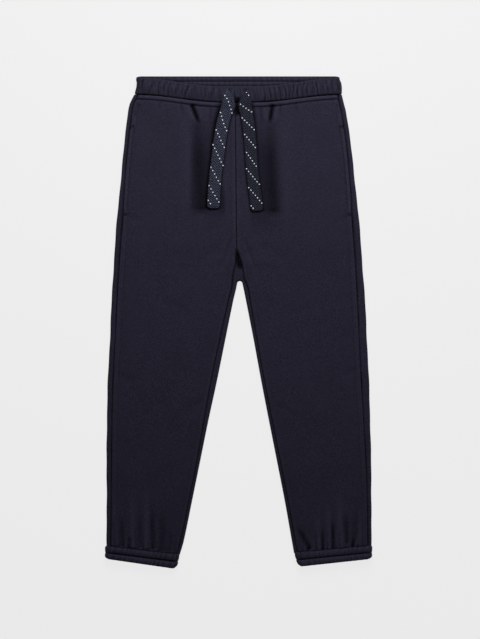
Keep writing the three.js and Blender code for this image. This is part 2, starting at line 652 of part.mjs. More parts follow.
// A route whose frames stay level, so that a flat tape keeps its face up.
class LevelRoute extends THREE.CatmullRomCurve3 {
  computeFrenetFrames(segments) {
    const frames = { tangents: [], normals: [], binormals: [] };
    for (let i = 0; i <= segments; i++) {
      const tangent = this.getTangentAt(i / segments);
      const across = new THREE.Vector3(-tangent.y, tangent.x, 0).normalize();
      frames.tangents.push(tangent);
      frames.normals.push(across);
      frames.binormals.push(new THREE.Vector3().crossVectors(tangent, across));
    }
    return frames;
  }
}

// The highest cloth under a stretch of tape: the band where the tape crosses it, and the fronts below.
function clothUnderTape(x, y) {
  const bandTop = 2.06 * BAND.wall + BAND.gapMiddle + BAND.gatherDepth;
  const onBand = smooth((y - frontWaistY(x) + CORD.landing) / CORD.landing);
  const onPanel = Math.min(y, frontWaistY(x) - 1);
  const heights = [-1, -0.5, 0, 0.5, 1].map((share) => topHeight(x + (share * CORD.width) / 2, onPanel));
  return mix(Math.max(...heights), bandTop, onBand);
}

// Drawcord end: flat tape from its slit in the band down over the front.
function drawcord(route) {
  const half = CORD.width / 2;
  const thin = CORD.thick / 2;
  const points = route.map(([x, y]) => new THREE.Vector3(x, y, clothUnderTape(x, y) + CORD.lift + thin));
  const section = new THREE.Shape();
  section.moveTo(half - thin * 0.6, thin);
  section.lineTo(0, thin);
  section.lineTo(thin * 0.6 - half, thin);
  section.lineTo(-half, thin * 0.4);
  section.lineTo(-half, -thin * 0.4);
  section.lineTo(thin * 0.6 - half, -thin);
  section.lineTo(0, -thin);
  section.lineTo(half - thin * 0.6, -thin);
  section.lineTo(half, -thin * 0.4);
  section.lineTo(half, thin * 0.4);
  section.closePath();
  const extrudePath = new LevelRoute(points, false, "centripetal");
  return new THREE.ExtrudeGeometry(section, { steps: CORD.steps, bevelEnabled: false, extrudePath });
}

const joggers = new THREE.Group();
for (const side of [-1, 1]) {
  const word = sideColumn(side);
  joggers.add(named("front_" + word, frontPanel(side), NAVY));
  joggers.add(named("back_" + word, backPanel(side), NAVY));
  joggers.add(named("pocket_" + word, pocketBag(side), POCKETING));
}
joggers.add(named("waistband", waistband(), BAND_NAVY));
for (const cuff of CUFFS) joggers.add(named(cuff.name, cuffRing(cuff), BAND_NAVY));
for (const name in CORD_ROUTES) joggers.add(named(name, drawcord(CORD_ROUTES[name]), CORD_NAVY));

export default joggers;
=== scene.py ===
"""Dresses a child's fleece jogger sweatpants, laid flat with the front up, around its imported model.

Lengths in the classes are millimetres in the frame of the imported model, and become metres when a mesh
is made.
X runs across the garment, Y towards the waist and Z up from the surface that it lies on.
"""

import json
import logging
import math
from dataclasses import dataclass, field
from enum import Enum
from typing import Any, NamedTuple, Protocol, Sequence

import bpy
import numpy as np
from mathutils import Vector
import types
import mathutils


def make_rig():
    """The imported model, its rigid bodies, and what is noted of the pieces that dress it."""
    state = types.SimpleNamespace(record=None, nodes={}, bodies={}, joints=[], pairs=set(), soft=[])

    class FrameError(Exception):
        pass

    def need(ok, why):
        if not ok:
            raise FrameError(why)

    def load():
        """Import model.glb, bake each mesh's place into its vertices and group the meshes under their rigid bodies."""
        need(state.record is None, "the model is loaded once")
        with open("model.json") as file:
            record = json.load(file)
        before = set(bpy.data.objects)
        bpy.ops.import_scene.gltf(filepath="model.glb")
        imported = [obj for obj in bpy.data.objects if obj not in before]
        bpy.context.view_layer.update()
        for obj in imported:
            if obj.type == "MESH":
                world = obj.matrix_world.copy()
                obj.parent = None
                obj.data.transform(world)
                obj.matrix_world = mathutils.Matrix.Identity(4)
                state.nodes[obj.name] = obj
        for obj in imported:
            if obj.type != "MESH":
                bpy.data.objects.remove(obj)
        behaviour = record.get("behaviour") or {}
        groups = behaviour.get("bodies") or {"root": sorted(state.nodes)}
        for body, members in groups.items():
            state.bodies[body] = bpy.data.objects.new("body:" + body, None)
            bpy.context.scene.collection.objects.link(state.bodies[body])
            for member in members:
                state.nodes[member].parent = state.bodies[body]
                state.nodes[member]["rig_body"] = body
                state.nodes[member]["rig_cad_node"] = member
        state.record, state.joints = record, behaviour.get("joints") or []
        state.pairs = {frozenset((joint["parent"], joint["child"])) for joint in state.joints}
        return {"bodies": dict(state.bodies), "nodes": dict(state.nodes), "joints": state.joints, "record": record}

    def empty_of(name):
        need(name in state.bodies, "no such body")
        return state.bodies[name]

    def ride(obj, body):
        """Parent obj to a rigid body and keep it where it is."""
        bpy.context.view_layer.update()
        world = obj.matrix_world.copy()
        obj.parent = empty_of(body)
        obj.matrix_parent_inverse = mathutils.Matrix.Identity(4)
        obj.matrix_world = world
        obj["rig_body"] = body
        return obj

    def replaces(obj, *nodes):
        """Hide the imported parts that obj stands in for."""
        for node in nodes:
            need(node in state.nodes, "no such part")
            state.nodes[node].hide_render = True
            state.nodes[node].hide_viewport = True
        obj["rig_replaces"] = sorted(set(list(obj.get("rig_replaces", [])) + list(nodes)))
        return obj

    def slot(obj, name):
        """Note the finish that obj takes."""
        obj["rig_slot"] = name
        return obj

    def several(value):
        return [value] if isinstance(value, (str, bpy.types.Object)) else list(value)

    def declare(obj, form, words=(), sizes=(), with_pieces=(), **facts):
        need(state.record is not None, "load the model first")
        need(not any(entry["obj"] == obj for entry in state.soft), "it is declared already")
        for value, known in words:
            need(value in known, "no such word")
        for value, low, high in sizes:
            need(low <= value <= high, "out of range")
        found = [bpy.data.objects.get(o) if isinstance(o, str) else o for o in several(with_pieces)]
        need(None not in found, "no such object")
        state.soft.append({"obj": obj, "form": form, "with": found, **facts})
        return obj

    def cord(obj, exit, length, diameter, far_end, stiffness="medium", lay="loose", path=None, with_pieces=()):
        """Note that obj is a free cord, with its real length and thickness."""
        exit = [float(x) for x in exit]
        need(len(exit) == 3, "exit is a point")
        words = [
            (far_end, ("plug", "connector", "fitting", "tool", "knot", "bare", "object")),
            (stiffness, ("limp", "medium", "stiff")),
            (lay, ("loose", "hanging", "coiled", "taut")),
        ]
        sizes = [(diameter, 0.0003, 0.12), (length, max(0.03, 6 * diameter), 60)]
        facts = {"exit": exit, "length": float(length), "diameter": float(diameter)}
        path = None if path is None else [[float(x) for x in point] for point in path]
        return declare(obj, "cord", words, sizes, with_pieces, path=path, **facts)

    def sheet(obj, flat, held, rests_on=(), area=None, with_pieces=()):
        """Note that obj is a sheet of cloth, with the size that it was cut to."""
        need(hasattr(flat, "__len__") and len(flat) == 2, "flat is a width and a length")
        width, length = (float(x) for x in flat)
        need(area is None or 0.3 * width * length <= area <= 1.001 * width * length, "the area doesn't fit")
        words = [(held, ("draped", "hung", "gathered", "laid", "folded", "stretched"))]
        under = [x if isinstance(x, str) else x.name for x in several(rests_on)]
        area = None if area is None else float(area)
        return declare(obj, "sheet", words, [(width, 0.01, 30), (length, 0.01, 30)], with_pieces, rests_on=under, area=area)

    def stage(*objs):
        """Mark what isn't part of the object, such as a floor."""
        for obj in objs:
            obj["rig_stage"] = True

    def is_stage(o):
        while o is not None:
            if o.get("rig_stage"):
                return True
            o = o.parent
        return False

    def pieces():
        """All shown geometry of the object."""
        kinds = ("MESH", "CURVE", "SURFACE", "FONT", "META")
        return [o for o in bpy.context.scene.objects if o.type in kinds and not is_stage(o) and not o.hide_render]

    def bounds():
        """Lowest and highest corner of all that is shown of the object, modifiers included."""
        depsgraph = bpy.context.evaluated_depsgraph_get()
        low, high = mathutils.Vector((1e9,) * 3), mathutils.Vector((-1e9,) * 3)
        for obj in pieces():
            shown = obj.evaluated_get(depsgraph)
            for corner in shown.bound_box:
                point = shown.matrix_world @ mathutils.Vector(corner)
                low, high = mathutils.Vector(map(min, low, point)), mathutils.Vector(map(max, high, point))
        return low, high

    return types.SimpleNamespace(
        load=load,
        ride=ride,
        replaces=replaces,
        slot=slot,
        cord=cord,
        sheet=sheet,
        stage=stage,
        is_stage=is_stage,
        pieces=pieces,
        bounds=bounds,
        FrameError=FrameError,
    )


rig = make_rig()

LOG = logging.getLogger("joggers")
MM = 0.001
BODY = "root"
SIZE_FILE = "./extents.json"
DULL = 0.12
# Ranges of the painted shade laid into the cloth's colour; below 0 it is a painted highlight
SHEET_SHADING_RANGE = (-0.4, 1.06)
RING_SHADING_RANGE = (-0.5, 1.06)
Array = np.ndarray


class Side(Enum):
    """The two halves of the garment, as seen from above."""

    LEFT = -1
    RIGHT = 1

    @property
    def word(self) -> str:
        """The half's name in lower case."""
        return self.name.lower()


class Held(Enum):
    """How a sheet of cloth lies."""

    LAID = "laid"
    GATHERED = "gathered"
    FOLDED = "folded"


class Slot(Enum):
    """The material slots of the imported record."""

    FLEECE = "fleece"
    BAND = "band"
    POCKETING = "pocketing"
    CORD = "cord"


def smooth(t: Any) -> Any:
    """Eases from 0 to 1 as t goes from 0 to 1."""
    s = np.clip(t, 0.0, 1.0)
    return s * s * (3 - 2 * s)


def mix(a: Any, b: Any, t: Any) -> Any:
    """Goes from a to b as t goes from 0 to 1."""
    return a + (b - a) * t


def bell(distance: Any, width: float) -> Any:
    """A rounded bump that is 1 at no distance and nearly gone at two widths."""
    return np.exp(-((distance / width) ** 2))


def roll(distance: Any, reach: float, depth: float) -> Any:
    """How far cloth has turned down at a distance from its edge.

    Args:
        distance: how far the point is from the edge.
        reach: how wide the turned strip is.
        depth: how far the edge itself lies below the cloth.

    Returns:
        The drop, from depth at the edge to 0 at reach.
    """
    inside = np.clip(1 - distance / reach, 0.0, 1.0)
    return depth * (1 - np.sqrt(1 - inside**2))


def unit(vectors: Array) -> Array:
    """Vectors of length 1 in the same directions."""
    return vectors / np.linalg.norm(vectors, axis=-1, keepdims=True)


def lengths_along(points: Array) -> Array:
    """How far along a line each of its points lies."""
    steps = np.linalg.norm(np.diff(points, axis=0), axis=1)
    return np.concatenate([[0], np.cumsum(steps)])


def point_at(points: Array, along: Array, length: float) -> Array:
    """The point at one length along a line of points."""
    return np.array([np.interp(length, along, points[:, axis]) for axis in range(3)])


def soften(values: Array, passes: int) -> Array:
    """Softens a line of values and keeps its two ends.

    Args:
        values: the values, in order.
        passes: how many times they are softened.

    Returns:
        The same line, softened.
    """
    for _ in range(passes):
        values[1:-1] = (values[:-2] + 2 * values[1:-1] + values[2:]) / 4
    return values


def blur(height: Array, passes: int) -> Array:
    """Softens a grid of heights along both of its axes.

    Args:
        height: the grid.
        passes: how many times it is softened.

    Returns:
        The softened grid.
    """
    soft = height.copy()
    for _ in range(passes):
        soft[1:-1] = (soft[:-2] + 2 * soft[1:-1] + soft[2:]) / 4
        soft[:, 1:-1] = (soft[:, :-2] + 2 * soft[:, 1:-1] + soft[:, 2:]) / 4
    return soft


def hollows(height: Array, passes: int, gain: float) -> Array:
    """How far each point of a grid lies below its surroundings, less than 0 on ridges."""
    return np.clip((blur(height, passes) - height) * gain, -0.5, 0.8)


@dataclass(frozen=True)
class SideRow:
    """Where each side's outline lies at one height, and how far in from it the side seam lies."""

    y: float
    left: float
    right: float
    left_seam: float
    right_seam: float


@dataclass(frozen=True)
class GapRow:
    """Where the inner outline and the inseam of each leg lie at one height."""

    y: float
    left: float
    right: float
    left_seam: float
    right_seam: float


@dataclass(frozen=True)
class TipRow:
    """A row round the tip of the gap between the legs, by its direction from the tip's middle.

    left and right are how far the back cloth is wrapped over each leg's fold there.
    """

    angle: float
    outer_y: float
    left: float
    right: float


@dataclass(frozen=True)
class Fold:
    """A soft trough, or a ridge where its depth is negative. shade is the painted shade laid along it, a painted
    highlight where negative.
    """

    x1: float
    y1: float
    x2: float
    y2: float
    width: float
    depth: float
    fade_in: float
    fade_out: float
    shade: float = 0.0

    def strength(self, x: Array, y: Array) -> Array:
        """The fold's share of its full depth at each point.

        Args:
            x: places across the garment.
            y: places along it.

        Returns:
            One value for each point.
        """
        run_x, run_y = self.x2 - self.x1, self.y2 - self.y1
        length = math.hypot(run_x, run_y)
        along = ((x - self.x1) * run_x + (y - self.y1) * run_y) / length
        across = ((x - self.x1) * run_y - (y - self.y1) * run_x) / length
        ends = smooth(along / self.fade_in) * smooth((length - along) / self.fade_out)
        return ends * bell(across, self.width)


@dataclass(frozen=True)
class DashRow:
    """One slanting row of pale stitches on the drawcord: its place along it, its slant and its stitches."""

    at: float
    slant: float
    stitches: int


@dataclass(frozen=True)
class Crease:
    """A crease across the waistband: its place at the seam, its lean to the top edge, and its form."""

    x: float
    lean: float
    width: float
    depth: float
    top: float = 0.55


SIDE_ROWS = (
    SideRow(278, 126.8, 126.2, 5.6, 5.6),
    SideRow(272, 130.0, 127.8, 5.6, 5.8),
    SideRow(266, 132.8, 129.4, 5.6, 6.2),
    SideRow(257, 135.0, 131.9, 5.6, 6.5),
    SideRow(222, 138.7, 136.8, 5.2, 6.2),
    SideRow(174, 143.6, 142.4, 5.6, 6.8),
    SideRow(125, 148.2, 147.4, 7.2, 8.6),
    SideRow(76, 151.9, 151.4, 7.0, 9.0),
    SideRow(27, 154.6, 154.8, 6.6, 9.4),
    SideRow(-22, 157.0, 157.4, 6.5, 9.8),
    SideRow(-71, 159.3, 159.6, 6.4, 9.6),
    SideRow(-120, 160.6, 161.3, 6.2, 8.2),
    SideRow(-169, 160.8, 162.2, 6.0, 6.6),
    SideRow(-218, 160.9, 162.8, 5.6, 5.2),
    SideRow(-276, 160.7, 162.4, 5.0, 4.4),
)

GAP_ROWS = (
    GapRow(48, -1.3, 4.9, 6.2, 4.5),
    GapRow(39.5, -3.0, 6.8, 5.6, 5.4),
    GapRow(27, -6.0, 9.3, 5.8, 4.9),
    GapRow(-22, -16.0, 18.9, 6.8, 3.9),
    GapRow(-71, -25.9, 27.9, 7.2, 3.7),
    GapRow(-120, -36.5, 37.4, 5.4, 3.7),
    GapRow(-169, -46.4, 47.1, 4.0, 3.7),
    GapRow(-218, -56.4, 56.7, 3.7, 3.7),
    GapRow(-266, -66.3, 65.2, 3.7, 3.7),
    GapRow(-284, -71.6, 68.4, 3.7, 3.7),
)

TIP_ROWS = (
    TipRow(90, 64, 33.5, 33.5),
    TipRow(86, 62, 25.5, 26.5),
    TipRow(80, 60, 19.5, 16.5),
    TipRow(63, 55, 12.8, 7.2),
    TipRow(36, 48, 7.6, 4.3),
    TipRow(13, 41, 6.2, 4.4),
)

# Folds of the upper cloth; the last number is painted shade in the fold, or a painted highlight along a ridge where
# negative
FOLDS = (
    Fold(-57, 266, -46, 239, 3.2, 2.2, 2, 14, 0.45),
    Fold(-50, 252, -44, 126, 8.6, 1.7, 16, 14),
    Fold(-66, 258, -64, 120, 11.0, -0.7, 20, 30),
    Fold(42, 266, 37.5, 239, 3.2, 2.2, 2, 14, 0.45),
    Fold(39, 252, 43, 124, 9.6, 1.6, 16, 14),
    Fold(-1.7, 272, -1.7, 248, 3.8, 0.9, 1, 8, 1.3),
    Fold(58, 258, 62, 118, 12.0, -0.7, 20, 30),
    Fold(-120, 268, -128, 246, 3.5, 0.8, 4, 10),
    Fold(119, 268, 126, 248, 3.5, 0.7, 4, 10),
    Fold(-10, 88, -26, 8, 8.0, -0.6, 12, 40),
    Fold(14, 88, 28, 8, 8.0, -0.6, 12, 40),
    Fold(-20, 96, -58, 70, 6.0, 0.5, 10, 24),
    Fold(24, 98, 64, 74, 6.0, 0.5, 10, 24),
    Fold(-151, -200, -150, -272, 4.4, -0.5, 40, 3, -0.12),
    Fold(-143, -232, -141.5, -273, 3.4, 1.3, 24, 2, 0.26),
    Fold(-130, -196, -129, -275, 5.0, -0.8, 44, 3, -0.16),
    Fold(-132, -258, -133, -275, 3.0, 1.0, 8, 2, 0.2),
    Fold(-121, -226, -119.5, -275, 4.0, 1.0, 34, 2, 0.12),
    Fold(-112, -190, -111, -276, 5.0, -0.8, 50, 3, -0.18),
    Fold(-105, -212, -105, -277, 4.2, 1.3, 40, 3, 0.28),
    Fold(-93, -222, -93, -279, 5.0, 1.2, 34, 3, 0.16),
    Fold(-88, -205, -88, -281, 15.0, 0.2, 50, 3, 0.12),
    Fold(71, -246, 87, -277, 3.8, 1.8, 16, 2, 0.42),
    Fold(96, -224, 98, -279, 4.4, -0.6, 30, 3, -0.15),
    Fold(102, -246, 103.5, -278, 3.4, 1.5, 18, 2, 0.28),
    Fold(109, -214, 110, -277, 4.2, -0.6, 34, 3, -0.16),
    Fold(114.5, -236, 116, -277, 2.8, 1.6, 22, 2, 0.32),
    Fold(123, -204, 124, -276, 5.2, -0.9, 40, 3, -0.2),
    Fold(130, -230, 133, -272, 3.6, 1.3, 20, 6, 0.24),
    Fold(142, -260, 137, -276, 2.6, 0.7, 7, 2, 0.14),
    Fold(146, -218, 139, -274, 4.2, 1.0, 32, 2, 0.18),
    Fold(150, -216, 147, -273, 4.4, -0.6, 32, 3, -0.14),
)

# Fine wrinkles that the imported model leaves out
WRINKLES = (
    Fold(-70, 266, -66, 250, 2.0, 0.5, 2, 10),
    Fold(-33, 262, -36, 238, 2.4, 0.6, 2, 14),
    Fold(27, 262, 29, 236, 2.4, 0.6, 2, 14),
    Fold(52, 266, 50, 248, 2.0, 0.5, 2, 12),
    Fold(70, 268, 71, 254, 2.2, 0.4, 2, 9),
    Fold(-95, 270, -98, 256, 2.4, 0.4, 2, 9),
    Fold(-6, 110, -24, 62, 3.0, 0.5, 12, 22),
    Fold(6, 108, 24, 60, 3.0, 0.5, 12, 22),
    Fold(-138, 134, -112, 122, 3.4, 0.4, 4, 16),
    Fold(138, 134, 114, 120, 3.4, 0.4, 4, 16),
    Fold(-100, 30, -60, 18, 6.0, 0.35, 14, 20),
    Fold(96, 24, 60, 10, 6.0, 0.35, 14, 20),
    Fold(-150, -60, -118, -74, 5.0, 0.4, 8, 18),
    Fold(152, -50, 122, -66, 5.0, 0.4, 8, 18),
    Fold(-40, -90, -72, -110, 5.0, 0.35, 8, 18),
    Fold(44, -96, 78, -116, 5.0, 0.35, 8, 18),
    Fold(-152, -238, -151, -271, 2.2, 0.6, 12, 2),
    Fold(-126, -248, -125, -273, 2.0, 0.6, 10, 2),
    Fold(-102, -250, -101, -276, 2.0, 0.6, 10, 2),
    Fold(-82, -252, -83, -279, 2.0, 0.6, 10, 2),
    Fold(94, -254, 95, -277, 1.8, 0.6, 8, 2),
    Fold(108, -250, 109, -276, 2.0, 0.7, 10, 2),
    Fold(122, -252, 124, -274, 1.8, 0.6, 8, 2),
    Fold(146, -248, 140, -272, 2.2, 0.6, 10, 2),
)

# Creases of the front waistband, from left to right: broad ones, then the finer gathers of the right half
FRONT_CREASES = (
    Crease(-121.6, 0, 1.3, 0.9),
    Crease(-116.6, 1, 1.5, 1.3, 0.9),
    Crease(-108, 4, 2.2, 0.8),
    Crease(-98.5, 5, 1.7, 1.9),
    Crease(-91, 4, 1.8, 0.9),
    Crease(-84.5, 1, 1.6, 1.6, 0.3),
    Crease(-77, 3, 2.0, 1.0),
    Crease(-70, 2, 1.8, 0.8),
    Crease(-65, 4, 1.7, 2.0),
    Crease(-55, 3, 2.4, 0.8),
    Crease(-43.5, 5, 1.7, 2.0),
    Crease(-33, 2, 2.0, 1.0),
    Crease(-23.5, 1, 1.7, 1.2),
    Crease(-4, 0, 1.6, 1.2),
    Crease(2.5, 0, 1.6, 1.0),
    Crease(22, 0, 1.6, 1.2),
    Crease(31.5, 0, 1.5, 1.9),
    Crease(38.5, -1, 1.4, 1.5),
    Crease(44.8, 0, 1.4, 1.7),
    Crease(51, -1, 1.4, 1.9),
    Crease(57.2, -1, 1.4, 1.5),
    Crease(62.4, -2, 1.4, 1.9),
    Crease(67.2, -1, 1.3, 1.3),
    Crease(72.5, 0, 1.4, 1.7),
    Crease(79, 0, 1.4, 1.6),
    Crease(84.8, -1, 1.4, 1.4),
    Crease(90.2, 1, 1.3, 1.2),
    Crease(95.6, 0, 1.4, 1.1),
    Crease(101.2, -1, 1.4, 0.9),
    Crease(107.8, -1, 1.5, 0.8),
    Crease(114.6, 0, 1.6, 0.7),
)

CORD_LEFT = (
    (-12.2, 284.2), (-11.8, 281.5), (-11.3, 276.6), (-11.3, 270.4),
    (-13.4, 260.7), (-16.2, 251.5), (-18.9, 242.3), (-21.1, 229.5),
    (-23.0, 216.7), (-24.5, 205.0), (-25.9, 193.4), (-27.2, 182.4),
    (-28.5, 171.4), (-29.4, 160.5), (-30.0, 149.5), (-30.1, 138.6),
)
CORD_RIGHT = (
    (10.6, 284.2), (10.4, 281.5), (9.6, 276.6), (8.4, 270.4),
    (9.4, 259.4), (11.2, 247.7), (12.6, 237.0), (13.8, 226.0),
    (14.8, 215.4), (15.4, 206.8), (15.9, 198.3), (16.8, 185.5),
    (18.2, 173.0), (19.8, 161.0), (21.4, 149.5), (22.9, 135.4),
)

# The rows of pale stitches, from the band to the loose end
DASHES_LEFT = (
    DashRow(17.3, 32, 7),
    DashRow(42.4, 32, 6),
    DashRow(63.3, 33, 6),
    DashRow(83.4, 32.5, 7),
    DashRow(108.5, 35, 6),
    DashRow(130.8, 34, 6),
    DashRow(148.3, 34, 6),
)
DASHES_RIGHT = (
    DashRow(6.0, 47, 3),
    DashRow(25.1, 49, 5),
    DashRow(44.1, 38, 6),
    DashRow(65.1, 34, 6),
    DashRow(87.7, 31, 6),
    DashRow(108.6, 33, 7),
    DashRow(131.5, 33, 7),
    DashRow(153.8, 33, 7),
)


@dataclass(frozen=True)
class CordShadow:
    """The painted shadow beside one end of the drawcord, from a pleat to the drawcord and under its tip.

    outer_high and outer_low are where its outer line runs at the level of high_y and of low_y, and spread
    is how gently it fades there. edge is how dark the painted shadow line beside the drawcord is.
    """

    side: Side
    route: tuple[tuple[float, float], ...]
    outer_high: float
    outer_low: float
    spread: float
    end_y: float
    end_run: float
    edge: float
    edge_width: float
    inner_run: float
    high_y: float = 235.0
    low_y: float = 142.0
    half: float = 7.7
    strength: float = 0.6
    fade_y: float = 262.0
    fade_run: float = 65.0

    def beyond(self, x: Array, y: Array) -> Array:
        """How far each point is from the drawcord's edge.

        Args:
            x: places across the garment.
            y: places along it.

        Returns:
            One distance for each point, 0 under the drawcord.
        """
        nearest = np.full_like(x, 1e3)
        for (x1, y1), (x2, y2) in zip(self.route, self.route[1:]):
            run_x, run_y = x2 - x1, y2 - y1
            t = np.clip(((x - x1) * run_x + (y - y1) * run_y) / (run_x**2 + run_y**2), 0, 1)
            nearest = np.minimum(nearest, np.hypot(x - x1 - t * run_x, y - y1 - t * run_y))
        return np.maximum(nearest - self.half, 0)

    def shade(self, x: Array, y: Array) -> Array:
        """How dark the painted shadow is at each point.

        Args:
            x: places across the garment.
            y: places along it.

        Returns:
            One value for each point.
        """
        sign = self.side.value
        cord_x = Curve([point[1] for point in self.route], [point[0] for point in self.route])(y)
        outer_x = mix(self.outer_low, self.outer_high, (y - self.low_y) / (self.high_y - self.low_y))
        inner_x = cord_x - sign * (self.half + self.inner_run * smooth((185 - y) / 40))
        across = smooth(0.5 + sign * (outer_x - x) / self.spread) * smooth(0.5 + sign * (x - inner_x) / 5)
        along = smooth((self.fade_y - y) / self.fade_run) * smooth((y - self.end_y) / self.end_run)
        outside = smooth(0.5 + sign * (x - cord_x) / 6)
        beyond = self.beyond(x, y)
        line = mix(0.8 * bell(beyond, 1.5), self.edge * bell(beyond, self.edge_width), outside)
        below_tip = smooth((self.route[-1][1] + 1 - y) / 3)
        shade = np.maximum(self.strength * across * along, line * (1 - 0.75 * below_tip))
        return shade * (1 - 0.35 * below_tip)


class Curve:
    """A smooth curve through one column of a table, read by height along the garment."""

    def __init__(self, heights: Sequence[float], values: Sequence[float]) -> None:
        """Keeps the rows from low to high, with the slope at each.

        Args:
            heights: the rows' heights, from high to low.
            values: the column's value in each row.
        """
        self.y = np.array(heights[::-1], float)
        self.v = np.array(values[::-1], float)
        low = np.maximum(np.arange(len(self.y)) - 1, 0)
        high = np.minimum(np.arange(len(self.y)) + 1, len(self.y) - 1)
        self.slope = (self.v[high] - self.v[low]) / (self.y[high] - self.y[low])

    def __call__(self, y: Any) -> Array:
        """The curve's value at y, held at its end values beyond the table.

        Args:
            y: heights along the garment.

        Returns:
            One value for each height.
        """
        y = np.asarray(y, float)
        i = np.clip(np.searchsorted(self.y, y) - 1, 0, len(self.y) - 2)
        span = self.y[i + 1] - self.y[i]
        t = np.clip((y - self.y[i]) / span, 0.0, 1.0)
        return (
            (2 * t**3 - 3 * t**2 + 1) * self.v[i]
            + (t**3 - 2 * t**2 + t) * span * self.slope[i]
            + (3 * t**2 - 2 * t**3) * self.v[i + 1]
            + (t**3 - t**2) * span * self.slope[i + 1]
        )


# Painted shadows beside and under the two ends of the drawcord
CORD_SHADOWS = (
    CordShadow(
        Side.LEFT,
        CORD_LEFT,
        outer_high=-57.0,
        outer_low=-58.0,
        spread=9.0,
        end_y=121.0,
        end_run=20.0,
        edge=1.15,
        edge_width=4.8,
        inner_run=6.0,
    ),
    CordShadow(
        Side.RIGHT,
        CORD_RIGHT,
        outer_high=43.4,
        outer_low=52.0,
        spread=16.0,
        end_y=100.0,
        end_run=40.0,
        edge=0.95,
        edge_width=3.0,
        inner_run=0.0,
    ),
)


@dataclass(frozen=True)
class CuffLine:
    """The four corners of one laid cuff."""

    side: Side
    outer_top: tuple[float, float]
    inner_top: tuple[float, float]
    outer_end: tuple[float, float]
    inner_end: tuple[float, float]


CUFF_LINES = {
    Side.LEFT: CuffLine(Side.LEFT, (-161.8, -272.5), (-71.8, -282.7), (-162.5, -288.4), (-74.9, -301.0)),
    Side.RIGHT: CuffLine(Side.RIGHT, (163.1, -272.1), (68.4, -280.6), (162.6, -288.6), (72.6, -298.3)),
}
# Painted light for each cuff: below 0 lightens it, the right one more
CUFF_PAINTED_LIGHT = {Side.LEFT: -0.12, Side.RIGHT: -0.26}


@dataclass
class Row:
    """One row of a half, from the side to the centre seam or to the fold beside the gap."""

    outer_y: float
    front: Array
    back: Array
    waist_share: float
    fold: Array | None = None
    inward: Array | None = None


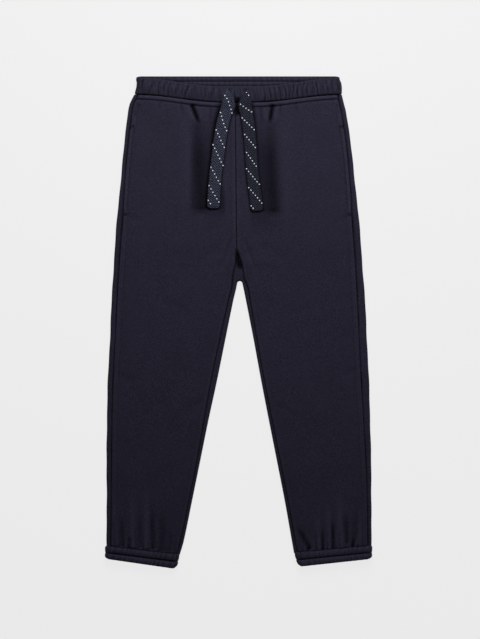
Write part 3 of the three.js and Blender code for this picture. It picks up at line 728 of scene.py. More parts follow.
@dataclass
class Cut:
    """The outline and the seam lines of the laid garment."""

    seam_y: float = 277.4
    front_drop: float = 9.5
    drop_from: float = 20.0
    drop_to: float = 125.0
    tip: tuple[float, float] = (1.8, 47.3)
    tip_radius: float = 3.2
    crotch: tuple[float, float] = (-2.1, 84.0)
    crotch_lean_from: float = 12.0
    crotch_lean_by: float = 32.0
    front_seam_x: float = -3.4
    seam_bend_y: float = 240.0
    trim: float = 0.35
    sag_share: float = 0.35
    fold_reach: float = 3.2
    crowd: float = 0.6
    curves: dict[tuple[Side, str], Curve] = field(default_factory=dict)

    def __post_init__(self) -> None:
        """Reads the tables into curves."""
        for side in Side:
            for rows, kind in ((SIDE_ROWS, "outer"), (GAP_ROWS, "inner")):
                heights = [row.y for row in rows]
                word = side.word
                self.curves[side, kind] = Curve(heights, [getattr(row, word) for row in rows])
                insets = [getattr(row, word + "_seam") for row in rows]
                self.curves[side, kind + "_inset"] = Curve(heights, insets)

    def outer(self, side: Side, y: Any) -> Array:
        """The outline's x on the garment's outer side."""
        return side.value * (self.curves[side, "outer"](y) - self.trim)

    def outer_inset(self, side: Side, y: Any) -> Array:
        """How far in from the outline the side seam lies."""
        return self.curves[side, "outer_inset"](y)

    def inner(self, side: Side, y: Any) -> Array:
        """The outline's x beside the gap between the legs."""
        return self.curves[side, "inner"](y)

    def inner_inset(self, side: Side, y: Any) -> Array:
        """How far in from that outline the inseam lies."""
        return self.curves[side, "inner_inset"](y)

    def front_waist(self, x: Any) -> Array:
        """The height of the waist seam on the front."""
        rise = smooth((np.abs(x) - self.drop_from) / (self.drop_to - self.drop_from))
        return self.seam_y - self.front_drop * (1 - rise)

    def cuff_top(self, x: Any) -> Array:
        """The height where the leg ends and its cuff starts.

        Args:
            x: places across the garment.

        Returns:
            One height for each place.
        """
        heights = []
        for side in Side:
            line = CUFF_LINES[side]
            t = (x - line.outer_top[0]) / (line.inner_top[0] - line.outer_top[0])
            heights.append(mix(line.outer_top[1], line.inner_top[1], t))
        return np.where(np.asarray(x) < 0, heights[0], heights[1])

    def drawn_in(self, x: Array) -> Array:
        """How tightly each end of the drawcord draws the waist in beside it."""
        return bell(x + 50, 18) + bell(x - 40, 15)

    def front_seam(self, y: Any) -> Array:
        """The x of the centre front seam."""
        lean = np.clip((y - self.crotch[1]) / (self.seam_bend_y - self.crotch[1]), 0, 1)
        return mix(self.crotch[0], self.front_seam_x, lean)

    def gap_distance(self, x: Array, y: Array) -> Array:
        """How far each point is from the gap between the legs.

        Args:
            x: places across the garment.
            y: places along it.

        Returns:
            One distance for each point.
        """
        tip = np.hypot(x - self.tip[0], y - self.tip[1]) - self.tip_radius
        left = self.inner(Side.LEFT, y) - x
        right = x - self.inner(Side.RIGHT, y)
        beside = np.where(x < self.tip[0], left, right)
        return np.maximum(0.0, np.where(y >= self.tip[1], tip, beside))

    def leg_row(self, fold: Array, inward: Array, wrap: float, outer_y: float) -> Row:
        """A row that ends at the fold beside the gap.

        Args:
            fold: where the row meets the fold.
            inward: the direction from there into the leg.
            wrap: how far the back cloth lies over the fold.
            outer_y: the row's height at the outer edge.

        Returns:
            The row.
        """
        lean = np.clip((wrap - self.crotch_lean_from) / (self.crotch_lean_by - self.crotch_lean_from), 0, 1)
        front = fold + inward * wrap + np.array([(self.crotch[0] - self.tip[0]) * lean, 0.0])
        back = fold + inward * self.fold_reach
        return Row(outer_y, front, back, 0.0, fold, inward)

    def rows(self, side: Side, hip: int, tip: int, leg: int) -> list[Row]:
        """The rows of one half, from the waist seam to the cuff.

        Args:
            side: which half.
            hip: how many rows lie above the crotch.
            tip: how many turn round the tip of the gap.
            leg: how many run down the leg.

        Returns:
            The rows in order.
        """
        rows = []
        crotch_fold = self.tip[1] + self.tip_radius
        waist_y = float(self.front_waist(self.front_seam_x))
        for step in np.arange(hip) / hip:
            t = mix(step, smooth(step), self.crowd)
            front_y = mix(waist_y, self.crotch[1], t)
            front = np.array([float(self.front_seam(front_y)), front_y])
            back = np.array([mix(0.0, self.tip[0], t), mix(self.seam_y, crotch_fold + self.fold_reach, t)])
            outer_y = mix(self.seam_y, TIP_ROWS[0].outer_y, t)
            rows.append(Row(outer_y, front, back, float(1 - smooth(t / self.sag_share))))
        angles = [row.angle for row in TIP_ROWS]
        wraps = Curve(angles, [getattr(row, side.word) for row in TIP_ROWS])
        outers = Curve(angles, [row.outer_y for row in TIP_ROWS])
        for angle in np.linspace(angles[0], angles[-1], tip):
            turn = math.radians(angle)
            out = np.array([side.value * math.cos(turn), math.sin(turn)])
            fold = np.array(self.tip) + self.tip_radius * out
            rows.append(self.leg_row(fold, out, float(wraps(angle)), float(outers(angle))))
        line = CUFF_LINES[side]
        for step in np.arange(1, leg + 1) / leg:
            t = mix(step, smooth(step), self.crowd)
            y = mix(GAP_ROWS[0].y, line.inner_top[1], t)
            lean = float(self.inner(side, y + 1) - self.inner(side, y - 1)) / 2
            inward = np.array([1.0, -lean]) * side.value / math.hypot(1, lean)
            fold = np.array([float(self.inner(side, y)), y])
            outer_y = mix(TIP_ROWS[-1].outer_y, line.outer_top[1], t)
            rows.append(self.leg_row(fold, inward, float(self.inner_inset(side, y)), outer_y))
        return rows


@dataclass
class Lay:
    """How high the upper cloth lies above the surface, with its folds, and the painted shade laid along them."""

    cut: Cut
    edge: float = 5.4
    middle: float = 1.3
    side_reach: float = 20.0
    gap_reach: float = 16.0
    hips: float = 1.2
    hips_from: float = 66.0
    hips_by: float = 104.0
    ends: float = 1.5
    waist_reach: float = 20.0
    cuff_reach: float = 24.0
    fold_margin: float = 6.0
    least: float = 4.05
    pit_from: float = 93.0
    pit_to: float = 62.0
    pit_run: float = 26.0
    pit_depth: float = 3.4
    # How dark the painted shade in the crotch hollow is
    pit_shade: float = 1.8

    def from_side(self, x: Array, y: Array) -> Array:
        """How far each point is from the outer outline."""
        outline = np.where(x < 0, -self.cut.outer(Side.LEFT, y), self.cut.outer(Side.RIGHT, y))
        return np.maximum(0.0, outline - np.abs(x))

    def pit(self, x: Array, y: Array) -> Array:
        """The share of the hollow at the crotch, where the four panels meet.

        Args:
            x: places across the garment.
            y: places along it.

        Returns:
            One value for each point.
        """
        down = np.clip((self.pit_from - y) / self.pit_run, 0, 1)
        middle = mix(-2.5, 2.2, down**1.3)
        width = mix(1.9, 3.6, down)
        shape = smooth(down * 1.9) * smooth((y - self.pit_to) / 9)
        return shape * bell(x - middle, width)

    def height(self, x: Array, y: Array) -> Array:
        """The height of the cloth's upper face.

        Args:
            x: places across the garment.
            y: places along it.

        Returns:
            Heights above the surface.
        """
        from_side, from_gap = self.from_side(x, y), self.cut.gap_distance(x, y)
        middle = (1 - np.exp(-from_side / self.side_reach)) * (1 - np.exp(-from_gap / self.gap_reach))
        hips = smooth((y - self.hips_from) / (self.hips_by - self.hips_from))
        at_waist = np.exp(-(self.cut.front_waist(x) - y) / self.waist_reach)
        at_cuff = np.exp(-(y - self.cut.cuff_top(x)) / self.cuff_reach)
        loft = self.edge + self.middle * middle + self.hips * hips
        loft = loft + self.ends * np.minimum(1, at_waist + at_cuff)
        near_edge = smooth((np.minimum(from_side, from_gap) - self.cut.fold_reach) / self.fold_margin)
        folds = sum(fold.depth * fold.strength(x, y) for fold in FOLDS + WRINKLES)
        drift = 0.16 * np.sin(x / 19 + 0.8 * np.sin(y / 31)) * np.sin(y / 23 + 1.1 * np.sin(x / 27 + 2))
        loft = loft - (folds + drift) * near_edge - self.pit_depth * self.pit(x, y)
        return np.maximum(self.least, loft)

    def nap(self, x: Array, y: Array) -> Array:
        """The painted shade in the folds, in the crotch hollow and beside the drawcord's ends."""
        shade = sum(fold.shade * fold.strength(x, y) for fold in FOLDS if fold.shade)
        return shade + self.pit_shade * self.pit(x, y) + self.beside_cords(x, y)

    def beside_cords(self, x: Array, y: Array) -> Array:
        """The painted shadow under and beside the drawcord's ends."""
        return sum(shadow.shade(x, y) for shadow in CORD_SHADOWS)


@dataclass
class MeshParts:
    """The points and faces of one piece, in millimetres, with the painted shade of each point."""

    points: Array
    quads: Array
    nap: Array


def make_object(
    name: str,
    points: Array,
    faces: Array,
    uv: Array | None,
    nap: Array | None,
) -> bpy.types.Object:
    """Makes an object of triangles or quads in the scene.

    Args:
        name: the piece's name.
        points: its points in millimetres.
        faces: one row of point numbers for each face.
        uv: a pattern place for each point, in metres.
        nap: the painted shade for each point, a painted highlight where below 0.

    Returns:
        The new object, shaded smooth.
    """
    mesh = bpy.data.meshes.new(name)
    sides = faces.shape[1]
    mesh.vertices.add(len(points))
    mesh.vertices.foreach_set("co", (points * MM).astype(np.float32).ravel())
    mesh.loops.add(faces.size)
    mesh.loops.foreach_set("vertex_index", faces.astype(np.int32).ravel())
    mesh.polygons.add(len(faces))
    mesh.polygons.foreach_set("loop_start", np.arange(0, faces.size, sides, dtype=np.int32))
    mesh.polygons.foreach_set("use_smooth", np.ones(len(faces), dtype=bool))
    if uv is not None:
        layer = mesh.uv_layers.new(name="pattern")
        layer.data.foreach_set("uv", uv[faces.ravel()].astype(np.float32).ravel())
    if nap is not None:
        mesh.attributes.new("nap", "FLOAT", "POINT").data.foreach_set("value", nap.astype(np.float32))
    mesh.update(calc_edges=True)
    mesh.validate()
    made = bpy.data.objects.new(name, mesh)
    bpy.context.scene.collection.objects.link(made)
    return made


def point_normals(points: Array, quads: Array) -> Array:
    """The outward direction of a surface at each of its points.

    Args:
        points: the surface's points.
        quads: four point numbers for each face.

    Returns:
        One unit vector for each point.
    """
    corners = points[quads]
    across = np.cross(corners[:, 2] - corners[:, 0], corners[:, 3] - corners[:, 1])
    normals = np.zeros_like(points)
    for k in range(4):
        np.add.at(normals, quads[:, k], across)
    size = np.linalg.norm(normals, axis=1, keepdims=True)
    return normals / np.maximum(size, 1e-9)


def cloth_shell(name: str, parts: MeshParts, ply: float) -> bpy.types.Object:
    """Gives a surface of cloth its thickness, as one closed shell.

    Args:
        name: the piece's name.
        parts: the outer surface, with its faces outwards.
        ply: how thick the cloth is.

    Returns:
        The finished object.
    """
    count = len(parts.points)
    inner = parts.points - point_normals(parts.points, parts.quads) * ply
    quads = parts.quads
    starts = quads.ravel()
    ends = np.roll(quads, -1, axis=1).ravel()
    lonely = ~np.isin(starts * count + ends, ends * count + starts)
    a, b = starts[lonely], ends[lonely]
    rim = np.stack([b, a, a + count, b + count], axis=1)
    faces = np.concatenate([quads, quads[:, ::-1] + count, rim])
    points = np.concatenate([parts.points, inner])
    return make_object(name, points, faces, None, np.concatenate([parts.nap, parts.nap]))


def grid_quads(rows: int, columns: int, flip: bool, closed: bool = False) -> Array:
    """The faces between the points of a grid.

    Args:
        rows: how many rows the grid has.
        columns: how many points a row has.
        flip: whether the faces turn the other way.
        closed: whether the last row joins the first.

    Returns:
        One row of four point numbers for each face.
    """
    number = np.arange(rows * columns).reshape(rows, columns)
    if closed:
        number = np.concatenate([number, number[:1]])
    corners = [number[:-1, :-1], number[1:, :-1], number[1:, 1:], number[:-1, 1:]]
    quads = np.stack(corners, axis=-1).reshape(-1, 4)
    return quads[:, ::-1] if flip else quads


@dataclass
class Panel:
    """What the leg panels share: their half, where they lie, and how their cloth turns down at a seam."""

    side: Side
    cut: Cut
    lay: Lay
    ply: float = 1.5
    seam_reach: float = 2.4
    seam_depth: float = 1.5


@dataclass
class FrontPanel(Panel):
    """One front leg panel: the upper cloth from the side seam to the centre seam or the inseam."""

    hip_rows: int = 120
    tip_rows: int = 24
    leg_rows: int = 170
    columns: int = 96
    allowance: float = 0.5
    mouth_top: float = 237.0
    mouth_end: float = 134.0
    mouth_gape: float = -0.5
    mouth_run: float = 5.0
    stitch_in: float = 5.0
    waist_strip: float = 5.4
    tight: float = 7.5

    def mouth(self, y: Any) -> Array:
        """1 along the pocket's mouth and 0 beyond its ends."""
        return smooth((self.mouth_top - y) / self.mouth_run) * smooth((y - self.mouth_end) / self.mouth_run)

    def raise_seams(self, x: Array, y: Array, to_outer: Array, to_inner: Array) -> Array:
        """The height of the cloth with its seams, allowances and stitched lines.

        Args:
            x: places across the garment.
            y: places along it.
            to_outer: distances from the side seam.
            to_inner: distances from the centre seam or the inseam.

        Returns:
            Heights above the surface.
        """
        mouth = self.mouth(y)
        z = self.lay.height(x, y)
        z = z - roll(to_outer, self.seam_reach, self.seam_depth)
        z = z + (self.allowance + 0.3 * mouth) * smooth(to_outer / 1.5) * smooth((6.5 - to_outer) / 1.8)
        z = z - 0.6 * mouth * bell(to_outer - self.stitch_in, 0.9)
        z = z - roll(to_inner, self.seam_reach, self.seam_depth)
        z = z + 0.3 * smooth(to_inner / 1.5) * smooth((6.0 - to_inner) / 2.0)
        below_waist = self.cut.front_waist(x) - y
        z = z - roll(below_waist, 1.8, 1.5)
        z = z + 0.8 * smooth(below_waist / 1.2) * smooth((self.waist_strip - below_waist) / 0.8)
        z = z - 0.9 * bell(below_waist - self.waist_strip, 0.9)
        above_cuff = y - self.cut.cuff_top(x)
        place = x / self.tight
        wave = np.cos(2 * np.pi * (place + 0.28 * np.sin(place * 1.3) + 0.2 * np.sin(place * 0.41 + 1)))
        z = z + 0.5 * wave * np.exp(-above_cuff / 8.0)
        return z - roll(above_cuff, 3.0, 1.6)

    def grid(self) -> tuple[Array, Array, Array, Array]:
        """The panel's points as x, y and the distances from its two long seams.

        Returns:
            Four grids with one value for each point.
        """
        even = np.linspace(0, 1, self.columns + 1)
        share = mix(even, smooth(even), self.cut.crowd)
        lines = []
        for row in self.cut.rows(self.side, self.hip_rows, self.tip_rows, self.leg_rows):
            gape = self.mouth_gape * float(self.mouth(row.outer_y))
            inset = float(self.cut.outer_inset(self.side, row.outer_y)) + gape
            start_x = float(self.cut.outer(self.side, row.outer_y)) - self.side.value * inset
            x = mix(start_x, row.front[0], share)
            straight = mix(row.outer_y, row.front[1], share)
            sagging = self.cut.front_waist(x) - (self.cut.seam_y - row.outer_y)
            y = mix(straight, sagging, row.waist_share)
            length = np.hypot(row.front[0] - start_x, row.front[1] - row.outer_y)
            lines.append(np.stack([x, y, share * length, (1 - share) * length]))
        block = np.stack(lines)
        return block[:, 0], block[:, 1], block[:, 2], block[:, 3]

    def nap(self, x: Array, y: Array, z: Array, to_outer: Array, to_inner: Array) -> Array:
        """The painted shade: in hollows, in folds, beside the seams, below the waist and above the cuff.

        Args:
            x: places across the garment.
            y: places along it.
            z: the panel's heights.
            to_outer: distances from the side seam.
            to_inner: distances from the centre seam or the inseam.

        Returns:
            One value for each point, less than 0 for a painted highlight on ridges.
        """
        below_waist = self.cut.front_waist(x) - y
        crotch = smooth((88 - y) / 12) * smooth((y + 40) / 90)
        # Painted shade in the hollows of the cloth and painted highlight on its ridges
        shade = self.lay.nap(x, y) + hollows(z, 5, 1.1)
        # Painted shade along the side seam, the centre seam and the inseam
        shade = shade + (0.65 + 0.25 * self.mouth(y)) * bell(to_outer, 1.0)
        shade = shade + 0.85 * bell(to_inner, 0.95) + 0.45 * crotch * bell(to_inner, 2.2)
        drawn = self.cut.drawn_in(x)
        shade = shade + (0.3 + 0.4 * drawn) * bell(below_waist, 0.9)
        ends = 0.5 * bell(x + 124, 9)
        shade = shade + (0.2 + 0.5 * drawn + ends) * bell(below_waist - self.waist_strip, 0.8 + 0.5 * drawn)
        above_cuff = y - self.cut.cuff_top(x)
        # Painted shade where the leg's cloth meets the cuff
        shade = shade + 0.8 * bell(above_cuff, 2.2) + 0.15 * np.exp(-above_cuff / 9)
        return np.clip(shade, *SHEET_SHADING_RANGE)

    def build(self) -> bpy.types.Object:
        """Makes the panel's shell.

        Returns:
            The finished object.
        """
        x, y, to_outer, to_inner = self.grid()
        z = self.raise_seams(x, y, to_outer, to_inner)
        points = np.stack([x, y, z], axis=-1).reshape(-1, 3)
        quads = grid_quads(x.shape[0], x.shape[1], self.side is Side.RIGHT)
        nap = self.nap(x, y, z, to_outer, to_inner)
        parts = MeshParts(points, quads, nap.ravel())
        return cloth_shell("front_panel_" + self.side.word, parts, self.ply)


@dataclass
class BackPanel(Panel):
    """One back leg panel: from the side seam round the outer fold, underneath, and round the inner fold."""

    hip_rows: int = 110
    tip_rows: int = 30
    leg_rows: int = 160
    top_steps: int = 7
    fold_steps: int = 9
    under_steps: int = 30

    def fold_arc(self, edge: Array, inward: Array, height: float, from_top: bool) -> Array:
        """The points round a folded edge.

        Args:
            edge: where the fold meets the outline.
            inward: the direction from there into the cloth.
            height: how high the cloth lies beside the fold.
            from_top: whether the points start on the upper side.

        Returns:
            The points in order.
        """
        reach = self.cut.fold_reach
        turns = np.linspace(math.pi / 2, -math.pi / 2, self.fold_steps + 1)
        if not from_top:
            turns = turns[::-1]
        out = reach * (1 - np.cos(turns))
        flat = edge[None, :] + inward[None, :] * out[:, None]
        return np.column_stack([flat, height / 2 * (1 + np.sin(turns)), np.zeros(len(flat))])

    def top_strip(self, start: Array, end: Array, start_is_seam: bool) -> Array:
        """The points of a strip that lies on top, between a seam and the start of a fold.

        Args:
            start: where the strip starts.
            end: where it ends.
            start_is_seam: whether its start is the seam.

        Returns:
            The points, each with its painted shade.
        """
        t = np.linspace(0, 1, self.top_steps + 1)
        flat = start[None, :] + (end - start)[None, :] * t[:, None]
        length = float(np.hypot(*(end - start)))
        from_seam = (t if start_is_seam else 1 - t) * length
        z = self.lay.height(flat[:, 0], flat[:, 1]) - roll(from_seam, self.seam_reach, self.seam_depth)
        near_crotch = smooth((flat[:, 1] - 20) / 40)
        # Painted shade beside the seam and in the crotch hollow
        nap = (0.6 + 0.2 * near_crotch) * bell(from_seam, 0.95 + 0.9 * near_crotch)
        nap = nap + self.lay.pit_shade * self.lay.pit(flat[:, 0], flat[:, 1])
        return np.column_stack([flat, z, nap])

    def line(self, row: Row) -> Array:
        """All the points of one row in order round the panel, each with its painted shade.

        Args:
            row: where the row lies.

        Returns:
            One line of place and painted shade for each point.
        """
        sign = self.side.value
        wobble = 0.22 * math.sin(row.outer_y / 15.0) + 0.16 * math.sin(row.outer_y / 6.1 + 1)
        edge = np.array([float(self.cut.outer(self.side, row.outer_y)) + sign * wobble, row.outer_y])
        seam = np.array([edge[0] - sign * float(self.cut.outer_inset(self.side, row.outer_y)), row.outer_y])
        core = np.array([edge[0] - sign * self.cut.fold_reach, row.outer_y])
        core_height = float(self.lay.height(core[:1], core[1:])[0])
        pieces = [self.top_strip(seam, core, True)[:-1]]
        pieces.append(self.fold_arc(edge, np.array([-sign, 0.0]), core_height, True))
        t = 1 - (1 - np.linspace(0, 1, self.under_steps + 1)[1:]) ** 1.7
        under = core[None, :] + (row.back - core)[None, :] * t[:, None]
        from_centre = np.hypot(*(row.back[:, None] - under.T)) if row.fold is None else np.full(len(t), 9.0)
        tucked = roll(under[:, 1] - self.cut.cuff_top(under[:, 0]), 2.6, 0.9)
        below = roll(from_centre, 1.5, 0.9) + tucked
        # Painted shade along the centre back seam underneath
        pieces.append(np.column_stack([under, below, 0.8 * bell(from_centre, 0.7)]))
        if row.fold is not None:
            height = float(self.lay.height(row.back[:1], row.back[1:])[0])
            pieces.append(self.fold_arc(row.fold, row.inward, height, False)[1:])
            pieces.append(self.top_strip(row.back, row.front, False)[1:])
        return np.concatenate(pieces)

    def build(self) -> bpy.types.Object:
        """Makes the panel's shell.

        Returns:
            The finished object.
        """
        rows = self.cut.rows(self.side, self.hip_rows, self.tip_rows, self.leg_rows)
        lines = [self.line(row) for row in rows]
        starts = np.cumsum([0] + [len(line) for line in lines])
        quads = []
        for j in range(len(lines) - 1):
            across = np.arange(min(len(lines[j]), len(lines[j + 1])) - 1)
            here, below = starts[j] + across, starts[j + 1] + across
            quads.append(np.stack([here, here + 1, below + 1, below], axis=1))
        faces = np.concatenate(quads)
        every = np.concatenate(lines)
        if self.side is Side.RIGHT:
            faces = faces[:, ::-1]
        parts = MeshParts(every[:, :3], faces, np.clip(every[:, 3], *SHEET_SHADING_RANGE))
        return cloth_shell("back_panel_" + self.side.word, parts, self.ply)


class Spots(NamedTuple):
    """Places on a ring: from end to end, in degrees round it, in height, and out from its wall's middle.

    A turn of 90 degrees is the front and one of -90 the back. The height goes from 0 at the seam to 1.
    """

    across: Array
    turn: Array
    height: Array
    out: Array


class Band(Protocol):
    """What a ring needs to know of a band."""

    def place(self, at: Spots) -> Array:
        """The band's points."""

    def relief(self, at: Spots) -> Array:
        """How far the cloth stands out from the plain band."""

    def shade(self, at: Spots) -> Array:
        """The painted shade laid into the band's colour."""


@dataclass
class Ring:
    """A band of folded cloth that goes round an opening, laid flat.

    Each station round the band holds the same section: up the outer face, over the fold and down the
    inner face.
    """

    name: str
    front_steps: int
    back_steps: int
    end_steps: int = 12
    face_steps: int = 24
    fold_steps: int = 8
    turned: float = 2.2
    ply: float = 1.2

    def stations(self) -> tuple[Array, Array]:
        """Places the stations round the band: 90 degrees is its front and -90 its back.

        Returns:
            Each station's place between the band's two ends, and its turn in degrees.
        """
        ends = np.arange(1, self.end_steps) / self.end_steps
        front = np.linspace(0, 1, self.front_steps + 1)
        back = np.linspace(1, 0, self.back_steps + 1)
        across = np.concatenate([front, np.ones(len(ends)), back, np.zeros(len(ends))])
        turn = np.concatenate(
            [np.full(len(front), 90.0), 90 - 180 * ends, np.full(len(back), -90.0), -90 - 180 * ends]
        )
        return across, turn

    def section(self, wall: float, tall: float) -> tuple[Array, Array]:
        """Heights from 0 to 1 and distances out from the wall's middle.

        Args:
            wall: the wall's thickness.
            tall: the band's height.

        Returns:
            Two arrays, one value for each point of the section.
        """
        radius = wall / 2
        top = 1 - radius / tall
        up = np.linspace(0, top, self.face_steps + 1)
        out_up = radius - roll(up * tall, self.turned, radius * 0.8)
        arc = np.linspace(0, math.pi, self.fold_steps + 1)[1:-1]
        over_height = top + radius / tall * np.sin(arc)
        over_out = radius * np.cos(arc)
        down = np.linspace(top, 0, self.face_steps // 2 + 1)
        out_down = -radius + roll(down * tall, self.turned, radius * 0.5)
        return np.concatenate([up, over_height, down]), np.concatenate([out_up, over_out, out_down])

    def build(self, form: "Band", wall: float, tall: float, hangs: bool) -> bpy.types.Object:
        """Makes the band's shell.

        Args:
            form: the band, which places the points and shades them.
            wall: the wall's thickness.
            tall: the band's height.
            hangs: whether the fold lies below the seam, as on a cuff.

        Returns:
            The finished object.
        """
        across, turn = self.stations()
        height, out = self.section(wall, tall)
        shape = (len(across), len(height))
        lines = (across[:, None], turn[:, None], height[None, :], out[None, :])
        at = Spots(*(np.broadcast_to(line, shape) for line in lines))
        points = form.place(at).reshape(-1, 3)
        # Painted shade in the hollows of the relief and painted highlight on its ridges, plus the band's own painted
        # shade
        nap = hollows(form.relief(at), 6, 1.3) + form.shade(at)
        quads = grid_quads(shape[0], shape[1], hangs, closed=True)
        parts = MeshParts(points, quads, np.clip(nap, *RING_SHADING_RANGE).ravel())
        return cloth_shell(self.name, parts, self.ply)


@dataclass
class Waistband:
    """The elastic waistband: a folded casing, drawn in to creases on its front."""

    cut: Cut
    top_y: float = 300.2
    front_height: float = 19.8
    end_gain: float = 1.1
    half_width: float = 126.3
    top_narrowing: tuple[float, float] = (2.2, 3.1)
    end_bulge: float = 1.2
    wall: float = 4.4
    gap_middle: float = 0.8
    gap_end: float = 2.4
    flat_half: float = 60.0
    end_run: float = 60.0
    pillow: float = 0.9
    puff: float = 0.16
    puff_most: float = 1.3
    stitch_height: float = 0.745
    # A painted shade that darkens the whole band
    tone: float = 0.13
    cord_exits: tuple[float, float] = (-12.2, 10.6)

    def crease_line(self, crease: Crease, height: Array) -> Array:
        """Where a crease runs at each height."""
        return crease.x + crease.lean * height + 1.1 * np.sin(height * 3.8 + crease.x)

    def creases(self, x: Array, height: Array) -> Array:
        """How deep the front's creases are at each place.

        Args:
            x: places across the band.
            height: from the waist seam to the top edge.

        Returns:
            One value for each point.
        """
        depth = np.zeros_like(x)
        for crease in FRONT_CREASES:
            low = 0.7 + 0.3 * math.sin(1.9 * crease.x + 0.4)
            high = crease.top * (1 + 0.6 * math.sin(2.7 * crease.x + 1.8))
            fade = mix(low, high, smooth(height)) * smooth((1.02 - height) / 0.22)
            beside = x - self.crease_line(crease, height)
            depth = depth + crease.depth * fade * bell(beside, 1.2 * crease.width)
        return depth

    def puffs(self, x: Array, height: Array) -> Array:
        """How far the cloth between two creases swells up.

        Args:
            x: places across the band.
            height: from the waist seam to the top edge.

        Returns:
            One value for each point.
        """
        swell = np.zeros_like(x)
        for low, high in zip(FRONT_CREASES, FRONT_CREASES[1:]):
            start, end = self.crease_line(low, height), self.crease_line(high, height)
            share = np.clip((x - start) / (end - start), 0, 1)
            tall = min(self.puff_most, self.puff * (high.x - low.x)) * (0.8 + 0.25 * math.sin(low.x * 2.3))
            middle = 0.5 + 0.3 * math.sin(low.x * 1.7)
            swell = swell + tall * (4 * share * (1 - share)) ** 0.65 * bell(height - middle, 0.48)
        return swell

    def ripple(self, x: Array, height: Array, pitch: float) -> Array:
        """A small uneven ripple along the band."""
        place = (x + 3 * height) / pitch
        return np.cos(2 * np.pi * (place + 0.3 * np.sin(place * 0.83) + 0.22 * np.sin(place * 0.37 + 1.3)))

    def across(self, share: Array, height: Array) -> Array:
        """The x of a place on the band, from its share of the way between the two ends.

        Args:
            share: places between the two ends, from 0 to 1.
            height: from the waist seam to the top edge.

        Returns:
            One x for each place.
        """
        plain = self.half_width - self.wall - self.gap_end / 2
        left = self.top_narrowing[0] * height - plain
        right = plain - self.top_narrowing[1] * height
        return mix(left, right, share)

    def relief(self, at: Spots) -> Array:
        """How far the cloth stands out from the plain band.

        Args:
            at: places on the ring.

        Returns:
            One distance for each point.
        """
        across, turn, height, out = at
        x = self.across(across, height)
        front, back, outer_face = turn == 90, turn == -90, out > 0
        swell = np.sin(np.pi * np.clip(0.08 + 0.92 * height, 0, 1))
        right = smooth((x + 10) / 20)
        small = mix(0.16, 0.24, right) * self.ripple(x, height, 4.3)
        small = small + 0.3 * self.ripple(x, -2 * height, 10.5)
        gathers = self.puffs(x, height) * swell - 0.75 * self.creases(x, height)
        relief = np.where(front & outer_face, self.pillow * swell + gathers, 0.0)
        relief = relief + np.where(front, small * swell, 0.0)
        bulge = self.end_bulge * smooth(height / 0.5) * smooth((0.85 - height) / 0.22)
        relief = relief + np.where(~front & ~back & outer_face, bulge * np.cos(np.radians(turn)), 0.0)
        tall = self.top_y - self.cut.seam_y
        below = (height - self.stitch_height) * tall
        inner = 0.55 * bell(below - 2.4, 1.5) + 0.5 * bell(below + 2.6, 1.5) - 0.8 * bell(below, 0.8)
        relief = relief + np.where(back & ~outer_face, 0.2 * self.ripple(x, height, 6.5) + inner, 0.0)
        for exit_x in self.cord_exits:
            dimple = bell(x - exit_x, 3.2) * bell((height - 0.72) * 20, 3.4)
            relief = relief - np.where(front & outer_face, 1.5 * dimple, 0.0)
        return relief

    def shade(self, at: Spots) -> Array:
        """The painted shade: the front's shadow on the inner back, the seam, the hollow between the drawcord's ends,
        the back's top rim and the band's painted tone.

        Args:
            at: places on the ring.

        Returns:
            One value for each point.
        """
        across, turn, height, out = at
        x = self.across(across, height)
        front, outer_face = turn == 90, out > 0
        below_edge = self.front_edge(x) - (self.cut.seam_y + (self.top_y - self.cut.seam_y) * height)
        # Painted shadow of the front's top edge on the back's inner face
        inside = 0.55 * smooth((below_edge + 2.6) / 2.8) * (turn == -90) * ~outer_face
        drawn = self.cut.drawn_in(x)
        seam = (0.3 + 0.55 * drawn) * bell(height * self.front_height, 1.3 + 0.6 * drawn)
        seam = seam * front * outer_face
        # Painted shade in the hollow between the drawcord's ends
        between = 1.2 * bell(x + 0.6, 3.4) * smooth((0.42 - height) / 0.2) * front * outer_face
        # Painted shade along the back's top edge
        rim = 0.35 * smooth((height - 0.95) / 0.04) * (turn == -90)
        return self.tone + inside + seam + between + rim

    def front_edge(self, x: Array) -> Array:
        """The height of the front's top edge."""
        to_end = smooth((np.abs(x) - self.flat_half) / self.end_run)
        return self.cut.front_waist(x) + self.front_height + self.end_gain * to_end

    def place(self, at: Spots) -> Array:
        """The points of the band.

        Args:
            at: places on the ring.

        Returns:
            The points in millimetres.
        """
        across, turn, height, out = at
        angle = np.radians(turn)
        top = 1 - self.wall / 2 / self.front_height
        over = np.clip((height - top) / (1 - top), 1e-6, 1)
        height = np.where(height > top, top + (1 - top) * over ** (1 - 0.6 * np.abs(np.cos(angle))), height)
        x = self.across(across, height)
        to_end = smooth((np.abs(x) - self.flat_half) / self.end_run)
        rise = self.wall + mix(self.gap_middle, self.gap_end, to_end)
        upper = (1 + np.sin(angle)) / 2
        front, back, outer_face = turn == 90, turn == -90, out > 0
        relief = self.relief(Spots(across, turn, height, out))
        outward = out + np.where(outer_face, relief, -relief * back)
        low = mix(self.cut.seam_y, self.cut.front_waist(x), upper)
        tall = mix(self.top_y - self.cut.seam_y, self.front_edge(x) - self.cut.front_waist(x), upper)
        scallop = np.where(front, -0.28 * self.creases(x, np.full_like(x, 0.75)), 0.0)
        scallop = scallop * smooth((height - 0.6) / 0.4)
        z = self.wall / 2 + rise * upper + outward * np.sin(angle)
        x = x + (rise / 2 + outward) * np.cos(angle)
        y = low + tall * height + scallop
        return np.stack([x, y, np.maximum(0.0, z)], axis=-1)

    def build(self) -> bpy.types.Object:
        """Makes the waistband's shell."""
        ring = Ring("waistband_casing", front_steps=420, back_steps=120)
        return ring.build(self, self.wall, self.front_height, False)


